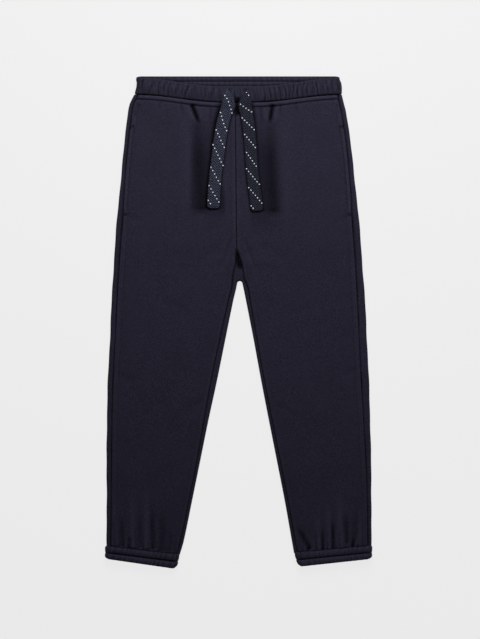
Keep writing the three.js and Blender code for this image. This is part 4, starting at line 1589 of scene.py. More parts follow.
@dataclass
class Cuff:
    """One elastic cuff: two gathered channels with a stitched line between them."""

    line: CuffLine
    tall: float = 18.0
    wall: float = 3.9
    gap: float = 0.7
    gathers: int = 15
    gather_depth: float = 0.62
    bulge: float = 0.9
    # Painted light that lightens the whole cuff
    tone: float = -0.05
    groove: float = 1.0
    overlap: float = 1.2
    corner_rise: float = 3.4
    corner_height: float = 0.4
    corner_reach: float = 7.0
    hem_lift: float = 1.0

    def wave(self, along: Array, pitch: float) -> Array:
        """An uneven wave along the cuff.

        Args:
            along: distances along the cuff.
            pitch: the length of a wave.

        Returns:
            One value for each point.
        """
        place = along / pitch
        turn = place + 0.3 * np.sin(place * 1.2) + 0.22 * np.sin(place * 0.37 + 1.3 + self.line.side.value)
        return (0.6 + 0.4 * np.sin(place * 0.53 + 0.6)) * np.cos(2 * np.pi * turn)

    def along(self, across: Array) -> tuple[Array, float]:
        """Each place's share between the cuff's corners, and the cuff's length.

        Args:
            across: places between the two ends.

        Returns:
            The shares, and the length.
        """
        length = abs(self.line.inner_top[0] - self.line.outer_top[0])
        inset = (self.wall + self.gap / 2) / length
        return mix(inset, 1 - inset, across), length

    def gathered(self, across: Array, height: Array) -> Array:
        """The height of the gathers.

        Args:
            across: places between the two ends.
            height: from the leg to the hem.

        Returns:
            One value for each point.
        """
        t, length = self.along(across)
        broad = self.gather_depth * self.wave(t * length + 3 * height, length / self.gathers)
        fine = self.wave(t * length + 40 - 5 * height, length / self.gathers / 2.1)
        return broad + 0.4 * self.gather_depth * fine

    def relief(self, at: Spots) -> Array:
        """How far the cloth stands out from the plain cuff.

        Args:
            at: places on the ring.

        Returns:
            One distance for each point.
        """
        across, turn, height, out = at
        channel = np.abs(np.sin(2 * np.pi * np.clip(height, 0, 1))) ** 0.75
        relief = self.bulge * channel + self.gathered(across, height) * (0.35 + 0.65 * channel)
        relief = relief - self.groove * bell((height - 0.5) * self.tall, 1.0)
        around = np.where(turn == 90, 1.0, np.where(turn == -90, 0.0, 0.35))
        return np.where(out > 0, relief * around, 0.0)

    def shade(self, at: Spots) -> Array:
        """The painted shade in the seam and in the line between the channels, painted highlights on the channels'
        ridges, and the cuff's painted tone.

        Args:
            at: places on the ring.

        Returns:
            One value for each point.
        """
        down = at.height * self.tall
        lines = 0.8 * bell(down, 1.1) + 0.15 * bell(down - 0.5 * self.tall, 0.9)
        # Painted highlights along the tops of the two channels
        ridges = bell(down - 0.17 * self.tall, 1.6) + bell(down - 0.67 * self.tall, 1.6)
        return (lines - 0.35 * ridges) * (at.turn == 90) * (at.out > 0) + self.tone

    def place(self, at: Spots) -> Array:
        """The points of the cuff.

        Args:
            at: places on the ring.

        Returns:
            The points in millimetres.
        """
        across, turn, height, out = at
        angle = np.radians(turn)
        line = self.line
        left = line.side is Side.LEFT
        first_top, last_top = (line.outer_top, line.inner_top) if left else (line.inner_top, line.outer_top)
        first_end, last_end = (line.outer_end, line.inner_end) if left else (line.inner_end, line.outer_end)
        t = self.along(across)[0]
        rise = self.wall + self.gap
        from_end = (0.5 - np.abs(across - 0.5)) * self.along(across)[1]
        near_hem = np.clip((height - 1 + self.corner_height) / self.corner_height, 0.0, 1.0)
        from_fold = from_end + (rise + self.wall) / 2 * (1 - np.abs(np.cos(angle)))
        corner = (self.hem_lift + roll(from_fold, self.corner_reach, self.corner_rise)) * near_hem
        outward = out + self.relief(at)
        x = mix(mix(first_top[0], last_top[0], t), mix(first_end[0], last_end[0], t), height)
        top_y = mix(first_top[1], last_top[1], t) + self.overlap
        y = mix(top_y, mix(first_end[1], last_end[1], t) + corner, height)
        hem = 0.15 * self.gathered(across, height) * smooth((height - 0.7) / 0.3)
        y = y + np.where(turn == 90, hem, 0.0)
        z = self.wall / 2 + rise * (1 + np.sin(angle)) / 2 + outward * np.sin(angle)
        x = x + (rise / 2 + outward) * np.cos(angle)
        return np.stack([x, y, np.maximum(0.0, z)], axis=-1)

    def build(self) -> bpy.types.Object:
        """Makes the cuff's shell."""
        ring = Ring("cuff_casing_" + self.line.side.word, front_steps=120, back_steps=40, face_steps=30)
        return ring.build(self, self.wall, self.tall - 1, True)


@dataclass
class PocketBag:
    """One pocket bag: thin cloth folded on itself between the layers, open at the side seam."""

    side: Side
    cut: Cut
    top_y: float = 246.0
    low_y: float = 112.0
    width: float = 72.0
    corner: float = 26.0
    top_corner: float = 12.0
    in_from_seam: float = 1.2
    low_z: float = 2.15
    high_z: float = 4.4
    ply: float = 0.7
    rows: int = 60
    columns: int = 26

    def reach(self, y: Array) -> Array:
        """How far the bag reaches in from the side seam at each height.

        Args:
            y: places along the garment.

        Returns:
            One distance for each height.
        """
        above = np.clip((y - self.top_y + self.top_corner) / self.top_corner, 0, 1)
        below = np.clip((self.low_y + self.corner - y) / self.corner, 0, 1)
        top = self.top_corner * (1 - np.sqrt(1 - above**2))
        low = self.corner * (1 - np.sqrt(1 - below**2))
        return self.width - top - 1.6 * low

    def build(self) -> bpy.types.Object:
        """Makes the bag's shell.

        Returns:
            The finished object.
        """
        y = np.linspace(self.top_y - 0.5, self.low_y + 0.5, self.rows + 1)
        edge = self.cut.outer(self.side, y)
        start = edge - self.side.value * (self.cut.outer_inset(self.side, y) + self.in_from_seam)
        flat = np.linspace(0, 1, self.columns + 1)
        arc = np.linspace(math.pi / 2, -math.pi / 2, 8)[1:-1]
        half = (self.high_z - self.low_z) / 2
        share = np.concatenate([flat, np.ones(len(arc)), flat[::-1]])
        bulge = np.concatenate([np.zeros(len(flat)), half * np.cos(arc), np.zeros(len(flat))])
        height = np.concatenate([np.full(len(flat), half), half * np.sin(arc), np.full(len(flat), -half)])
        inward = share[None, :] * (self.reach(y)[:, None] - half) + bulge[None, :]
        x = start[:, None] - self.side.value * inward
        z = np.broadcast_to(self.low_z + half + height[None, :], x.shape)
        points = np.stack([x, np.broadcast_to(y[:, None], x.shape), z], axis=-1).reshape(-1, 3)
        quads = grid_quads(x.shape[0], x.shape[1], self.side is Side.RIGHT)
        parts = MeshParts(points, quads, np.zeros(len(points)))
        return cloth_shell("pocket_bag_" + self.side.word, parts, self.ply)


@dataclass
class Tape:
    """One free end of the flat drawcord, with its slanting dashed lines."""

    side: Side
    route: tuple[tuple[float, float], ...]
    cut: Cut
    lay: Lay
    # Painted light for the whole tape: below 0 lighter, above 0 darker
    tone: float
    rows: tuple[DashRow, ...]
    stitch_pitch: float
    band_top: float = 10.9
    width: float = 15.4
    thick: float = 2.2
    lift: float = 0.35
    landing: float = 9.0
    dip: float = 3.2
    tucked_run: float = 19.0
    free_run: float = 17.0
    round_run: float = 4.2
    step: float = 1.4
    stitch_size: tuple[float, float, float] = (0.88, 0.76, 0.34)

    def line(self) -> Array:
        """The tape's centreline as evenly spaced points on the surface.

        Returns:
            One point for each step.
        """
        flat = np.array(self.route, float)
        along = lengths_along(flat)
        even = np.linspace(0, along[-1], int(along[-1] / self.step) + 1)
        x = soften(np.interp(even, along, flat[:, 0]), 6)
        y = soften(np.interp(even, along, flat[:, 1]), 6)
        return np.column_stack([x, y, self.rest_height(x, y)])

    def rest_height(self, x: Array, y: Array) -> Array:
        """The height of the tape's middle, where it rests on the band and then on the fronts.

        Args:
            x: places across the garment.
            y: places along it.

        Returns:
            One height for each point.
        """
        on_panel = np.minimum(y, self.cut.front_waist(x) - 1)
        under = [self.lay.height(x + share * self.width / 2, on_panel) for share in (-1, -0.5, 0, 0.5, 1)]
        on_band = smooth((y - self.cut.front_waist(x) + self.landing) / self.landing)
        z = mix(np.max(under, axis=0), self.band_top, on_band) + self.lift + self.thick / 2
        return soften(z, 5) - self.dip * smooth(1 - np.arange(len(z)) * self.step / 6)

    def spans(self, along: Array, total: float) -> tuple[Array, Array, Array]:
        """The tape's reach to the left and to the right of its line, and its thickness, along it.

        Args:
            along: distances along the tape.
            total: its whole length.

        Returns:
            Three arrays, one value for each distance.
        """
        opening = np.clip(along / self.tucked_run, 0, 1)
        half = self.width / 2
        tucked = mix(-0.12, 1.0, opening) * (1 + 0.2 * bell(along - 20, 9.0))
        free = mix(0.3, 1.0, np.clip(along / self.free_run, 0, 1))
        left, right = (tucked, free) if self.side is Side.RIGHT else (free, tucked)
        end = np.clip((total - along) / self.round_run, 0, 1)
        rounded = 0.52 + 0.48 * np.sqrt(1 - (1 - end) ** 2)
        thick = self.thick * mix(1.25, 1.0, opening) * (0.45 + 0.55 * np.sqrt(1 - (1 - end) ** 2))
        return half * left * rounded, half * right * rounded, thick

    def build(self) -> tuple[bpy.types.Object, list[tuple[float, float, float]], float]:
        """Makes the tape.

        Returns:
            The object, its path in metres and its length in metres.
        """
        line = self.line()
        along = lengths_along(line)
        tangent = unit(np.gradient(line, axis=0))
        sideways = unit(np.column_stack([-tangent[:, 1], tangent[:, 0], np.zeros(len(line))]))
        up = np.cross(tangent, sideways)
        left, right, thick = self.spans(along, along[-1])
        turn = np.linspace(0, 2 * math.pi, 37)[:-1]
        flat = np.sign(np.cos(turn)) * np.abs(np.cos(turn)) ** 0.35
        tall = np.sign(np.sin(turn)) * np.abs(np.sin(turn)) ** 0.55
        reach = np.where(flat[None, :] > 0, left[:, None], right[:, None]) * -flat[None, :]
        rise = thick[:, None] / 2 * tall[None, :]
        points = line[:, None] + sideways[:, None] * reach[..., None] + up[:, None] * rise[..., None]
        faces = self.faces(*points.shape[:2])
        uv = np.stack([reach, np.broadcast_to(along[:, None], reach.shape)], axis=-1).reshape(-1, 2) * MM
        # Painted shade on the tape's edges and underside, added to its painted tone
        edge = 0.4 * np.abs(flat) ** 8 + 0.3 * (tall < 0)
        nap = np.broadcast_to(self.tone + edge[None, :], reach.shape).ravel()
        made = make_object("drawcord_tape_" + self.side.word, points.reshape(-1, 3), faces, uv, nap)
        path = [tuple(point) for point in line * MM]
        return made, path, float(along[-1]) * MM

    @staticmethod
    def faces(rings: int, size: int) -> Array:
        """The faces of a tube of rings, with a cap on each end.

        Args:
            rings: how many rings it has.
            size: how many points each ring has.

        Returns:
            One row of four point numbers for each face.
        """
        number = np.arange(rings * size).reshape(rings, size)
        around = np.roll(number, -1, axis=1)
        quads = np.stack([number[:-1], around[:-1], around[1:], number[1:]], axis=-1).reshape(-1, 4)
        caps = []
        for ring, turned in ((0, True), (rings - 1, False)):
            for k in range(size // 2 - 1):
                cap = number[ring, [k, k + 1, size - 2 - k, size - 1 - k]].tolist()
                caps.append(cap[::-1] if turned else cap)
        return np.concatenate([quads, np.array(caps)])[:, ::-1]

    def dashes(self) -> bpy.types.Object:
        """Makes the dashed lines of pale thread that slant across the tape.

        Returns:
            The finished object.
        """
        line = self.line()
        along = lengths_along(line)
        beads = BeadRun("drawcord_dashes_" + self.side.word)
        for row in self.rows:
            slant = math.radians(row.slant)
            for k in range(row.stitches):
                reach = (k - (row.stitches - 1) / 2) * self.stitch_pitch
                across, down = reach * math.sin(slant), row.at + reach * math.cos(slant)
                left, right, _ = self.spans(np.array(down), along[-1])
                if 3 < down < along[-1] - 2.5 and -left + 0.15 < across < right - 0.15:
                    beads.add(*self.on_tape(line, along, across, down, slant), self.stitch_size)
        return beads.build()

    def on_tape(
        self,
        line: Array,
        along: Array,
        across: float,
        down: float,
        slant: float,
    ) -> tuple[Array, Array]:
        """A place on the tape's upper face, and the direction of a dash there.

        Args:
            line: the tape's centreline.
            along: distances along it.
            across: how far right of the line.
            down: how far along the line.
            slant: the dash's turn from the line.

        Returns:
            The point and the direction.
        """
        point = point_at(line, along, down)
        forward = unit(point_at(line, along, down + 1) - point)
        right = unit(np.array([-forward[1], forward[0], 0.0]))
        place = point + right * across + np.array([0, 0, self.thick / 2 + 0.02])
        return place, forward * math.cos(slant) + right * math.sin(slant)


class BeadRun:
    """Many small rounded stitches, joined into one mesh."""

    def __init__(self, name: str, around: int = 8, rings: int = 4) -> None:
        """Makes the shape that is repeated.

        Args:
            name: the joined piece's name.
            around: how many sides a stitch has.
            rings: how many rings of faces it has.
        """
        self.name = name
        self.points: list[Array] = []
        polar = np.linspace(0, math.pi, rings + 1)[1:-1]
        turn = np.linspace(0, 2 * math.pi, around + 1)[:-1]
        body = [
            [math.cos(p), math.sin(p) * math.cos(a), math.sin(p) * math.sin(a)] for p in polar for a in turn
        ]
        self.shape = np.array([[1, 0, 0], *body, [-1, 0, 0]], float)
        last = len(self.shape) - 1
        faces = []
        for k in range(around):
            after = (k + 1) % around
            faces.append([0, 1 + k, 1 + after])
            for ring in range(len(polar) - 1):
                a, b = 1 + ring * around, 1 + (ring + 1) * around
                faces.append([a + k, b + k, b + after])
                faces.append([a + k, b + after, a + after])
            faces.append([last - around + k, last, last - around + after])
        self.faces = np.array(faces)

    def add(self, place: Array, direction: Array, size: tuple[float, float, float]) -> None:
        """Adds one stitch.

        Args:
            place: its middle.
            direction: the way that it runs.
            size: half its length, width and height.
        """
        forward = unit(direction)
        sideways = np.cross([0, 0, 1.0], forward)
        sideways /= max(np.linalg.norm(sideways), 1e-9)
        up = np.cross(forward, sideways)
        frame = np.stack([forward * size[0], sideways * size[1], up * size[2]])
        self.points.append(place + self.shape @ frame)

    def build(self) -> bpy.types.Object:
        """Joins the stitches into one object.

        Returns:
            The finished object.
        """
        count = len(self.shape)
        faces = np.concatenate([self.faces + i * count for i in range(len(self.points))])
        return make_object(self.name, np.concatenate(self.points), faces, None, None)


@dataclass
class Seamwork:
    """The rows of stitches that show on the front."""

    cut: Cut
    fronts: dict[Side, FrontPanel]
    waistband: Waistband
    pitch: float = 3.1
    size: tuple[float, float, float] = (1.2, 0.32, 0.26)
    slit: tuple[float, float] = (2.3, 0.26)

    def along(self, beads: BeadRun, points: Array) -> None:
        """Lays stitches along a line of points on the cloth.

        Args:
            beads: the run that gets them.
            points: the line, in order.
        """
        along = lengths_along(points)
        for length in np.arange(self.pitch / 2, along[-1], self.pitch):
            here = point_at(points, along, length)
            ahead = point_at(points, along, length + 0.8)
            beads.add(here, ahead - here, self.size)

    def on_band(self, name: str, points: Array) -> bpy.types.Object:
        """Makes a line of stitches a little above points on a band.

        Args:
            name: the piece's name.
            points: the line, in order.

        Returns:
            The finished object.
        """
        beads = BeadRun(name)
        self.along(beads, points + np.array([0, 0, 0.1]))
        return beads.build()

    def on_front(self, side: Side, x: Array, y: Array) -> Array:
        """Points on a front panel's upper face.

        Args:
            side: the panel's side.
            x: places across the garment.
            y: places along it.

        Returns:
            One point for each place.
        """
        front = self.fronts[side]
        seam_x = self.cut.outer(side, y) - side.value * self.cut.outer_inset(side, y)
        to_outer = np.abs(x - seam_x) - front.mouth_gape * front.mouth(y)
        z = front.raise_seams(x, y, np.maximum(to_outer, 0), np.full_like(x, 50.0))
        return np.column_stack([x, y, z + 0.12])

    def waist(self) -> bpy.types.Object:
        """Makes the row of stitches below the waist seam.

        Returns:
            The finished object.
        """
        beads = BeadRun("waist_topstitch")
        for side in Side:
            x = np.linspace(side.value * 128.0, self.cut.front_seam_x + side.value * 2.0, 240)
            y = self.cut.front_waist(x) - self.fronts[side].waist_strip
            inside = np.abs(x) < np.abs(self.cut.outer(side, y)) - self.cut.outer_inset(side, y) - 1
            self.along(beads, self.on_front(side, x[inside], y[inside]))
        return beads.build()

    def pocket(self, side: Side) -> bpy.types.Object:
        """Makes the stitches and the bar tacks of one pocket mouth.

        Args:
            side: the pocket's side.

        Returns:
            The finished object.
        """
        front = self.fronts[side]
        beads = BeadRun("pocket_topstitch_" + side.word)
        y = np.linspace(front.mouth_top + 2, front.mouth_end - 2, 120)
        inset = self.cut.outer_inset(side, y) + front.stitch_in + front.mouth_gape * front.mouth(y)
        self.along(beads, self.on_front(side, self.cut.outer(side, y) - side.value * inset, y))
        for level in (front.mouth_top + 2, front.mouth_end - 2):
            for k in range(7):
                at_y = np.array([level + (k - 3) * 0.45])
                reach = self.cut.outer_inset(side, at_y) + 3.0
                place = self.on_front(side, self.cut.outer(side, at_y) - side.value * reach, at_y)[0]
                beads.add(place + np.array([0, 0, 0.1]), np.array([1.0, 0.03 * k, 0]), (2.2, 0.26, 0.2))
        return beads.build()

    def cuff(self, cuff: Cuff) -> bpy.types.Object:
        """Makes the stitched line between a cuff's two channels.

        Args:
            cuff: the cuff that it runs on.

        Returns:
            The finished object.
        """
        across = np.linspace(0.01, 0.99, 160)
        full = np.ones_like(across)
        points = cuff.place(Spots(across, 90 * full, 0.5 * full, cuff.wall / 2 * full))
        return self.on_band("cuff_stitches_" + cuff.line.side.word, points)

    def buttonholes(self) -> bpy.types.Object:
        """Makes the overcast slits that the drawcord's ends come out of.

        Returns:
            The finished object.
        """
        beads = BeadRun("buttonhole_stitches")
        band = self.waistband
        for exit_x in band.cord_exits:
            for turn in np.linspace(0, 2 * math.pi, 31)[:-1]:
                x = exit_x + self.slit[0] * math.cos(turn)
                height = 0.6 + self.slit[1] * math.sin(turn)
                left, right = (float(band.across(np.array(end), np.array(height))) for end in (0.0, 1.0))
                across = np.array([(x - left) / (right - left)])
                one = np.ones(1)
                place = band.place(Spots(across, 90 * one, height * one, band.wall / 2 * one))[0]
                way = np.array([math.cos(turn), 0.6 * math.sin(turn), 0.0])
                beads.add(place + np.array([0, 0, 0.1]), way, (1.0, 0.34, 0.3))
        return beads.build()

    def casing(self) -> bpy.types.Object:
        """Makes the line of stitches inside the back of the waistband.

        Returns:
            The finished object.
        """
        across = np.linspace(0.03, 0.97, 240)
        full = np.ones_like(across)
        height = self.waistband.stitch_height * full
        points = self.waistband.place(Spots(across, -90 * full, height, -self.waistband.wall / 2 * full))
        return self.on_band("casing_stitches", points)


class Socket:
    """A shader value that can be used in sums and products."""

    def __init__(self, graph: "Graph", output: bpy.types.NodeSocket) -> None:
        """Keeps the graph and the output that gives the value."""
        self.graph = graph
        self.output = output

    def __add__(self, other: Any) -> "Socket":
        """Adds."""
        return self.graph.math("ADD", self, other)

    def __radd__(self, other: Any) -> "Socket":
        """Adds, with the number first."""
        return self.graph.math("ADD", other, self)

    def __sub__(self, other: Any) -> "Socket":
        """Subtracts."""
        return self.graph.math("SUBTRACT", self, other)

    def __rsub__(self, other: Any) -> "Socket":
        """Subtracts from the number."""
        return self.graph.math("SUBTRACT", other, self)

    def __mul__(self, other: Any) -> "Socket":
        """Multiplies."""
        return self.graph.math("MULTIPLY", self, other)

    def __rmul__(self, other: Any) -> "Socket":
        """Multiplies, with the number first."""
        return self.graph.math("MULTIPLY", other, self)

    def __truediv__(self, other: Any) -> "Socket":
        """Divides."""
        return self.graph.math("DIVIDE", self, other)


class Graph:
    """A material's nodes, and the ways that this script adds them."""

    def __init__(self, name: str) -> None:
        """Starts an empty material.

        Args:
            name: the material's name.
        """
        self.material = bpy.data.materials.new(name)
        self.material.use_nodes = True
        self.tree = self.material.node_tree
        self.tree.nodes.clear()

    def node(self, kind: str, settings: dict[str, Any], inputs: dict[Any, Any], output: Any = 0) -> Socket:
        """Adds one node.

        Args:
            kind: the node's type.
            settings: its own settings, which are set first. stops are a ramp's places and colours.
            inputs: values or links for its sockets, by name or number.
            output: the output that is returned, by name or number.

        Returns:
            That output.
        """
        made = self.tree.nodes.new(kind)
        for key, value in settings.items():
            if key == "stops":
                ramp = made.color_ramp
                while len(ramp.elements) < len(value):
                    ramp.elements.new(0.5)
                for element, (place, colour) in zip(ramp.elements, value):
                    element.position = place
                    element.color = colour
            else:
                setattr(made, key, value)
        for key, value in inputs.items():
            if isinstance(value, Socket):
                self.tree.links.new(value.output, made.inputs[key])
            else:
                made.inputs[key].default_value = value
        return Socket(self, made.outputs[output])

    def math(self, operation: str, a: Any, b: Any = 0.0) -> Socket:
        """Adds a Math node for two values."""
        return self.node("ShaderNodeMath", {"operation": operation}, {0: a, 1: b})

    def blend(self, kind: str, factor: Any, a: Any, b: Any) -> Socket:
        """Mixes two colours."""
        settings = {"data_type": "RGBA", "blend_type": kind}
        return self.node("ShaderNodeMix", settings, {0: factor, 6: a, 7: b}, 2)

    def noise(self, vector: Socket, scale: float, detail: float, roughness: float = 0.6) -> Socket:
        """Adds a noise texture and returns its value."""
        inputs = {"Vector": vector, "Scale": scale, "Detail": detail, "Roughness": roughness}
        return self.node("ShaderNodeTexNoise", {}, inputs, 0)

    def nap(self) -> Socket:
        """Reads the painted shade at each point of the piece, a painted highlight where below 0."""
        return self.node("ShaderNodeAttribute", {"attribute_name": "nap"}, {}, "Fac")

    def toned(self, colour: Any, tone: Socket) -> Socket:
        """Multiplies a colour by a grey tone."""
        grey = self.node("ShaderNodeCombineColor", {}, {0: tone, 1: tone, 2: tone})
        return self.blend("MULTIPLY", 1.0, colour, grey)

    def bump(self, strength: float, distance: float, height: Socket) -> Socket:
        """Turns a height into a normal."""
        inputs = {"Strength": strength, "Distance": distance, "Height": height}
        return self.node("ShaderNodeBump", {}, inputs)

    def between(self, value: Socket, low: float, high: float) -> Socket:
        """Stretches the range from low to high over 0 to 1."""
        return self.node("ShaderNodeMapRange", {}, {0: value, 1: low, 2: high, 3: 0.0, 4: 1.0})

    def finish(self, shader: dict[str, Any]) -> bpy.types.Material:
        """Ends the material with a Principled shader of these values.

        Args:
            shader: values or sockets by the names of the inputs.

        Returns:
            The material.
        """
        surface = self.node("ShaderNodeBsdfPrincipled", {}, shader)
        end = self.tree.nodes.new("ShaderNodeOutputMaterial")
        self.tree.links.new(surface.output, end.inputs["Surface"])
        return self.material


def linear(red: float, green: float, blue: float) -> tuple[float, float, float, float]:
    """Turns a screen colour of 0 to 255 into a linear one with full alpha.

    Args:
        red: its red part.
        green: its green part.
        blue: its blue part.

    Returns:
        Red, green, blue and alpha from 0 to 1.
    """
    parts = []
    for value in (red, green, blue):
        share = value / 255
        parts.append(share / 12.92 if share <= 0.04045 else ((share + 0.055) / 1.055) ** 2.4)
    return (parts[0], parts[1], parts[2], 1.0)


@dataclass(frozen=True)
class FleeceFinish:
    """Brushed fleece: fine flecks, short fibres, a faint knit and slow changes of tone."""

    name: str
    dark: tuple[float, float, float]
    light: tuple[float, float, float]
    bump: float = 0.5
    sheen: float = 0.08

    def material(self) -> bpy.types.Material:
        """Makes the material.

        Returns:
            The material.
        """
        graph = Graph(self.name)
        place = graph.node("ShaderNodeTexCoord", {}, {}, "Object")
        along = graph.node("ShaderNodeMapping", {}, {"Vector": place, "Scale": (1.0, 0.3, 1.0)})
        flecks = graph.noise(place, 1300.0, 2.0, 0.7)
        fibres = graph.noise(along, 2400.0, 2.0, 0.65)
        clouds = graph.noise(place, 38.0, 3.0, 0.55)
        tufts = graph.noise(place, 330.0, 2.0, 0.6)
        parts = graph.node("ShaderNodeSeparateXYZ", {}, {"Vector": place}, 0)
        wale = graph.math("SINE", parts * (2 * math.pi / 0.0011))
        speckle = graph.between(0.55 * flecks + 0.45 * fibres, 0.36, 0.66)
        colour = graph.blend("MIX", speckle, linear(*self.dark), linear(*self.light))
        # The painted shading darkens the colour where shade falls and lightens its painted highlights
        tone = (0.8 + 0.26 * clouds + 0.16 * tufts) * (1 - 0.88 * graph.nap())
        colour = graph.toned(colour, tone)
        height = 0.5 * flecks + 0.3 * fibres + 0.5 * tufts + 0.05 * wale
        normal = graph.bump(self.bump, 0.0006, height)
        return graph.finish(
            {
                "Base Color": colour,
                "Roughness": 0.95,
                "Specular IOR Level": 0.05,
                "Sheen Weight": self.sheen,
                "Sheen Roughness": 0.55,
                "Sheen Tint": linear(150, 150, 175),
                "Normal": normal,
            }
        )


@dataclass(frozen=True)
class TapeFinish:
    """Flat woven tape: a herringbone of fine ridges, in two navy tones."""

    name: str
    dark: tuple[float, float, float]
    light: tuple[float, float, float]
    rib: float = 0.003
    column: float = 0.00385

    def material(self) -> bpy.types.Material:
        """Makes the material.

        Returns:
            The material.
        """
        graph = Graph(self.name)
        place = graph.node("ShaderNodeUVMap", {"uv_map": "pattern"}, {}, "UV")
        across = graph.node("ShaderNodeSeparateXYZ", {}, {"Vector": place}, 0)
        down = graph.node("ShaderNodeSeparateXYZ", {}, {"Vector": place}, 1)
        zigzag = graph.math("PINGPONG", across + 0.1, self.column)
        ridge = 0.5 + 0.5 * graph.math("SINE", (down + zigzag * 1.1) * (2 * math.pi / self.rib))
        grain = graph.noise(place, 480.0, 2.0, 0.65)
        speckle = graph.between(0.34 * ridge + 0.66 * grain, 0.4, 0.6)
        colour = graph.blend("MIX", speckle, linear(*self.dark), linear(*self.light))
        # Painted shade and painted light on the tape
        colour = graph.toned(colour, 1 - graph.nap())
        normal = graph.bump(0.6, 0.0005, ridge + 0.4 * grain)
        values = {"Base Color": colour, "Roughness": 0.82, "Normal": normal}
        return graph.finish(values | {"Specular IOR Level": DULL})


@dataclass(frozen=True)
class ThreadFinish:
    """Sewing thread: a twist of fine fibres in one colour."""

    name: str
    colour: tuple[float, float, float]
    roughness: float = 0.7

    def material(self) -> bpy.types.Material:
        """Makes the material.

        Returns:
            The material.
        """
        graph = Graph(self.name)
        place = graph.node("ShaderNodeTexCoord", {}, {}, "Object")
        grain = graph.noise(place, 2600.0, 2.0, 0.6)
        colour = graph.toned(linear(*self.colour), 0.8 + 0.4 * grain)
        normal = graph.bump(0.4, 0.0002, grain)
        values = {"Base Color": colour, "Roughness": self.roughness, "Normal": normal}
        return graph.finish(values | {"Specular IOR Level": DULL})


@dataclass(frozen=True)
class FloorFinish:
    """A plain pale surface, lit evenly by a faint glow of its own."""

    name: str = "pale_floor"
    glow: float = 0.905

    def material(self) -> bpy.types.Material:
        """Makes the material."""
        graph = Graph(self.name)
        return graph.finish(
            {
                "Base Color": linear(90, 90, 90),
                "Roughness": 0.9,
                "Specular IOR Level": 0.0,
                "Emission Color": linear(240, 240, 240),
                "Emission Strength": self.glow,
            }
        )


@dataclass
class Studio:
    """The floor, the lights and the camera, which looks straight down as in the photograph."""

    photo_height: float = 779.6
    photo_centre: tuple[float, float] = (2.1, 3.8)
    distance: float = 2.6
    sensor: float = 36.0
    floor_size: float = 4.0
    floor_drop: float = -0.3
    key_power: float = 9.0
    fill_power: float = 0.7
    world: float = 0.04

    def area_light(
        self,
        name: str,
        place: tuple[float, float, float],
        aim: tuple[float, float, float],
        size: float,
        power: float,
    ) -> None:
        """Adds a square soft light.

        Args:
            name: its name.
            place: where it stands.
            aim: what it points at.
            size: the length of its side.
            power: its power in watts.
        """
        data = bpy.data.lights.new(name, "AREA")
        data.shape = "SQUARE"
        data.size = size
        data.energy = power
        lamp = bpy.data.objects.new(name, data)
        lamp.location = place
        lamp.rotation_euler = (Vector(aim) - Vector(place)).to_track_quat("-Z", "Y").to_euler()
        bpy.context.scene.collection.objects.link(lamp)

    def build(self) -> None:
        """Makes the floor, the lights, the world and the camera."""
        half = self.floor_size / 2 / MM
        corners = [(-half, -half), (half, -half), (half, half), (-half, half)]
        corners = np.array([(x, y, self.floor_drop) for x, y in corners])
        floor = make_object("floor", corners, np.array([[0, 1, 2, 3]]), None, None)
        floor.data.materials.append(FloorFinish().material())
        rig.stage(floor)
        self.area_light("key", (0.05, 0.78, 0.72), (0.0, 0.1, 0.0), 0.6, self.key_power)
        self.area_light("fill", (0.8, -0.5, 0.7), (0.0, -0.1, 0.0), 0.6, self.fill_power)
        world = bpy.data.worlds.new("studio")
        world.use_nodes = True
        background = world.node_tree.nodes["Background"]
        background.inputs["Color"].default_value = (1.0, 1.0, 1.0, 1.0)
        background.inputs["Strength"].default_value = self.world
        bpy.context.scene.world = world
        data = bpy.data.cameras.new("camera")
        data.sensor_width = self.sensor
        data.lens = self.sensor * self.distance / (self.photo_height * MM)
        camera = bpy.data.objects.new("camera", data)
        camera.location = (self.photo_centre[0] * MM, self.photo_centre[1] * MM, self.distance)
        bpy.context.scene.collection.objects.link(camera)
        bpy.context.scene.camera = camera
        bpy.context.scene.view_settings.view_transform = "Standard"


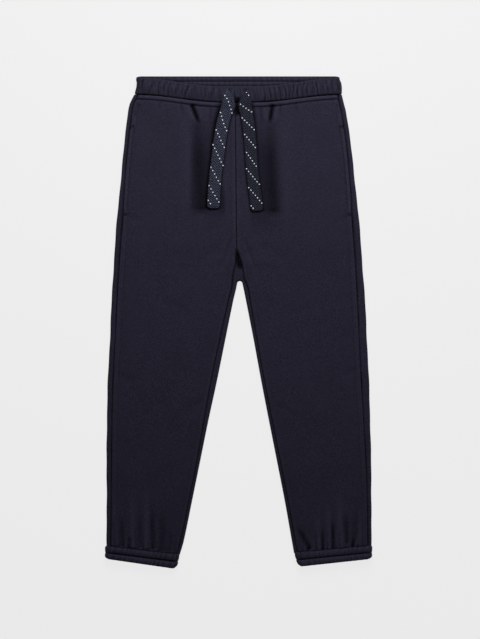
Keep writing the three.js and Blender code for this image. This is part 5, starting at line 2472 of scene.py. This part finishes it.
@dataclass
class Joggers:
    """The whole garment: builds each piece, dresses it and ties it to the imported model."""

    cut: Cut = field(default_factory=Cut)
    fleece: bpy.types.Material = field(init=False)
    band: bpy.types.Material = field(init=False)
    pocketing: bpy.types.Material = field(init=False)
    tape: bpy.types.Material = field(init=False)
    thread: bpy.types.Material = field(init=False)
    dash: bpy.types.Material = field(init=False)

    def __post_init__(self) -> None:
        """Makes the lay of the cloth and the finishes."""
        self.lay = Lay(self.cut)
        self.fleece = FleeceFinish("navy_fleece", (25, 23, 33), (62, 59, 78)).material()
        self.band = FleeceFinish("navy_band", (24, 23, 32), (60, 59, 77)).material()
        self.pocketing = FleeceFinish("navy_pocketing", (36, 35, 46), (48, 46, 60), 0.2, 0.05).material()
        self.tape = TapeFinish("navy_tape", (4, 5, 10), (64, 67, 86)).material()
        self.thread = ThreadFinish("navy_thread", (35, 33, 45)).material()
        self.dash = ThreadFinish("pale_thread", (240, 243, 250)).material()

    def add(
        self,
        piece: bpy.types.Object,
        material: bpy.types.Material,
        slot: Slot,
        node: str | None = None,
    ) -> None:
        """Dresses a piece, names its slot, ties it to the garment's body and reports it.

        Args:
            piece: the finished object.
            material: what it is made of.
            slot: the record's slot for it.
            node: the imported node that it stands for.
        """
        piece.data.materials.append(material)
        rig.ride(piece, BODY)
        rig.slot(piece, slot.value)
        if node:
            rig.replaces(piece, node)
        LOG.info("%s: %d points", piece.name, len(piece.data.vertices))

    def drawcords(self) -> None:
        """Builds the two free ends of the drawcord."""
        # The fifth number is painted light: the left tape lighter, the right one darker
        left = Tape(Side.LEFT, CORD_LEFT, self.cut, self.lay, -0.26, DASHES_LEFT, 4.65)
        right = Tape(Side.RIGHT, CORD_RIGHT, self.cut, self.lay, 0.27, DASHES_RIGHT, 4.05)
        for tape in (left, right):
            piece, path, length = tape.build()
            self.add(piece, self.tape, Slot.CORD, "drawcord_" + tape.side.word)
            dashes = tape.dashes()
            self.add(dashes, self.dash, Slot.CORD)
            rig.cord(
                piece,
                exit=path[0],
                length=length,
                diameter=tape.width * MM,
                far_end="bare",
                stiffness="limp",
                lay="loose",
                path=path,
                with_pieces=[dashes],
            )

    def panels(self) -> dict[Side, FrontPanel]:
        """Builds the four leg panels.

        Returns:
            The two front panels by side.
        """
        fronts = {}
        for side in Side:
            front = FrontPanel(side, self.cut, self.lay)
            piece = front.build()
            self.add(piece, self.fleece, Slot.FLEECE, "front_" + side.word)
            under = BackPanel(side, self.cut, self.lay).build()
            self.add(under, self.fleece, Slot.FLEECE, "back_" + side.word)
            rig.sheet(piece, flat=(0.165, 0.565), held=Held.LAID.value, rests_on=[under], area=0.070)
            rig.sheet(under, flat=(0.20, 0.565), held=Held.LAID.value, rests_on=["floor"], area=0.084)
            fronts[side] = front
        return fronts

    def bands(self) -> tuple[Waistband, dict[Side, Cuff]]:
        """Builds the waistband and the cuffs.

        Returns:
            The waistband, and the cuffs by side.
        """
        waistband = Waistband(self.cut)
        piece = waistband.build()
        self.add(piece, self.band, Slot.BAND, "waistband")
        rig.sheet(piece, flat=(0.58, 0.044), held=Held.GATHERED.value, rests_on=["floor"])
        cuffs = {}
        for side in Side:
            cuff = Cuff(CUFF_LINES[side], tone=CUFF_PAINTED_LIGHT[side])
            piece = cuff.build()
            self.add(piece, self.band, Slot.BAND, "cuff_" + side.word)
            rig.sheet(piece, flat=(0.22, 0.037), held=Held.GATHERED.value, rests_on=["floor"])
            cuffs[side] = cuff
        return waistband, cuffs

    def pockets(self) -> None:
        """Builds the two pocket bags."""
        for side in Side:
            piece = PocketBag(side, self.cut).build()
            self.add(piece, self.pocketing, Slot.POCKETING, "pocket_" + side.word)
            under = "back_panel_" + side.word
            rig.sheet(piece, flat=(0.146, 0.134), held=Held.FOLDED.value, rests_on=[under], area=0.0175)

    def seams(self, fronts: dict[Side, FrontPanel], waistband: Waistband, cuffs: dict[Side, Cuff]) -> None:
        """Builds the rows of stitches.

        Args:
            fronts: the front panels by side.
            waistband: the waistband.
            cuffs: the cuffs by side.
        """
        work = Seamwork(self.cut, fronts, waistband)
        runs = [work.waist(), work.casing(), work.buttonholes()]
        runs += [work.pocket(side) for side in Side]
        runs += [work.cuff(cuffs[side]) for side in Side]
        for run in runs:
            self.add(run, self.thread, Slot.FLEECE)

    def build(self) -> None:
        """Builds the garment, the cords first."""
        self.drawcords()
        fronts = self.panels()
        waistband, cuffs = self.bands()
        self.pockets()
        self.seams(fronts, waistband, cuffs)


def plain(box: Any) -> list[list[float]]:
    """A box's two corners as plain lists."""
    return [[float(value) for value in corner] for corner in box]


def main() -> None:
    """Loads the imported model, builds the scene and writes the two boxes."""
    logging.basicConfig(level=logging.INFO, format="%(message)s")
    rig.load()
    model_box = plain(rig.bounds())
    Studio().build()
    Joggers().build()
    with open(SIZE_FILE, "w", encoding="utf-8") as file:
        json.dump({"model": model_box, "visual": plain(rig.bounds())}, file)


if __name__ == "__main__":
    main()
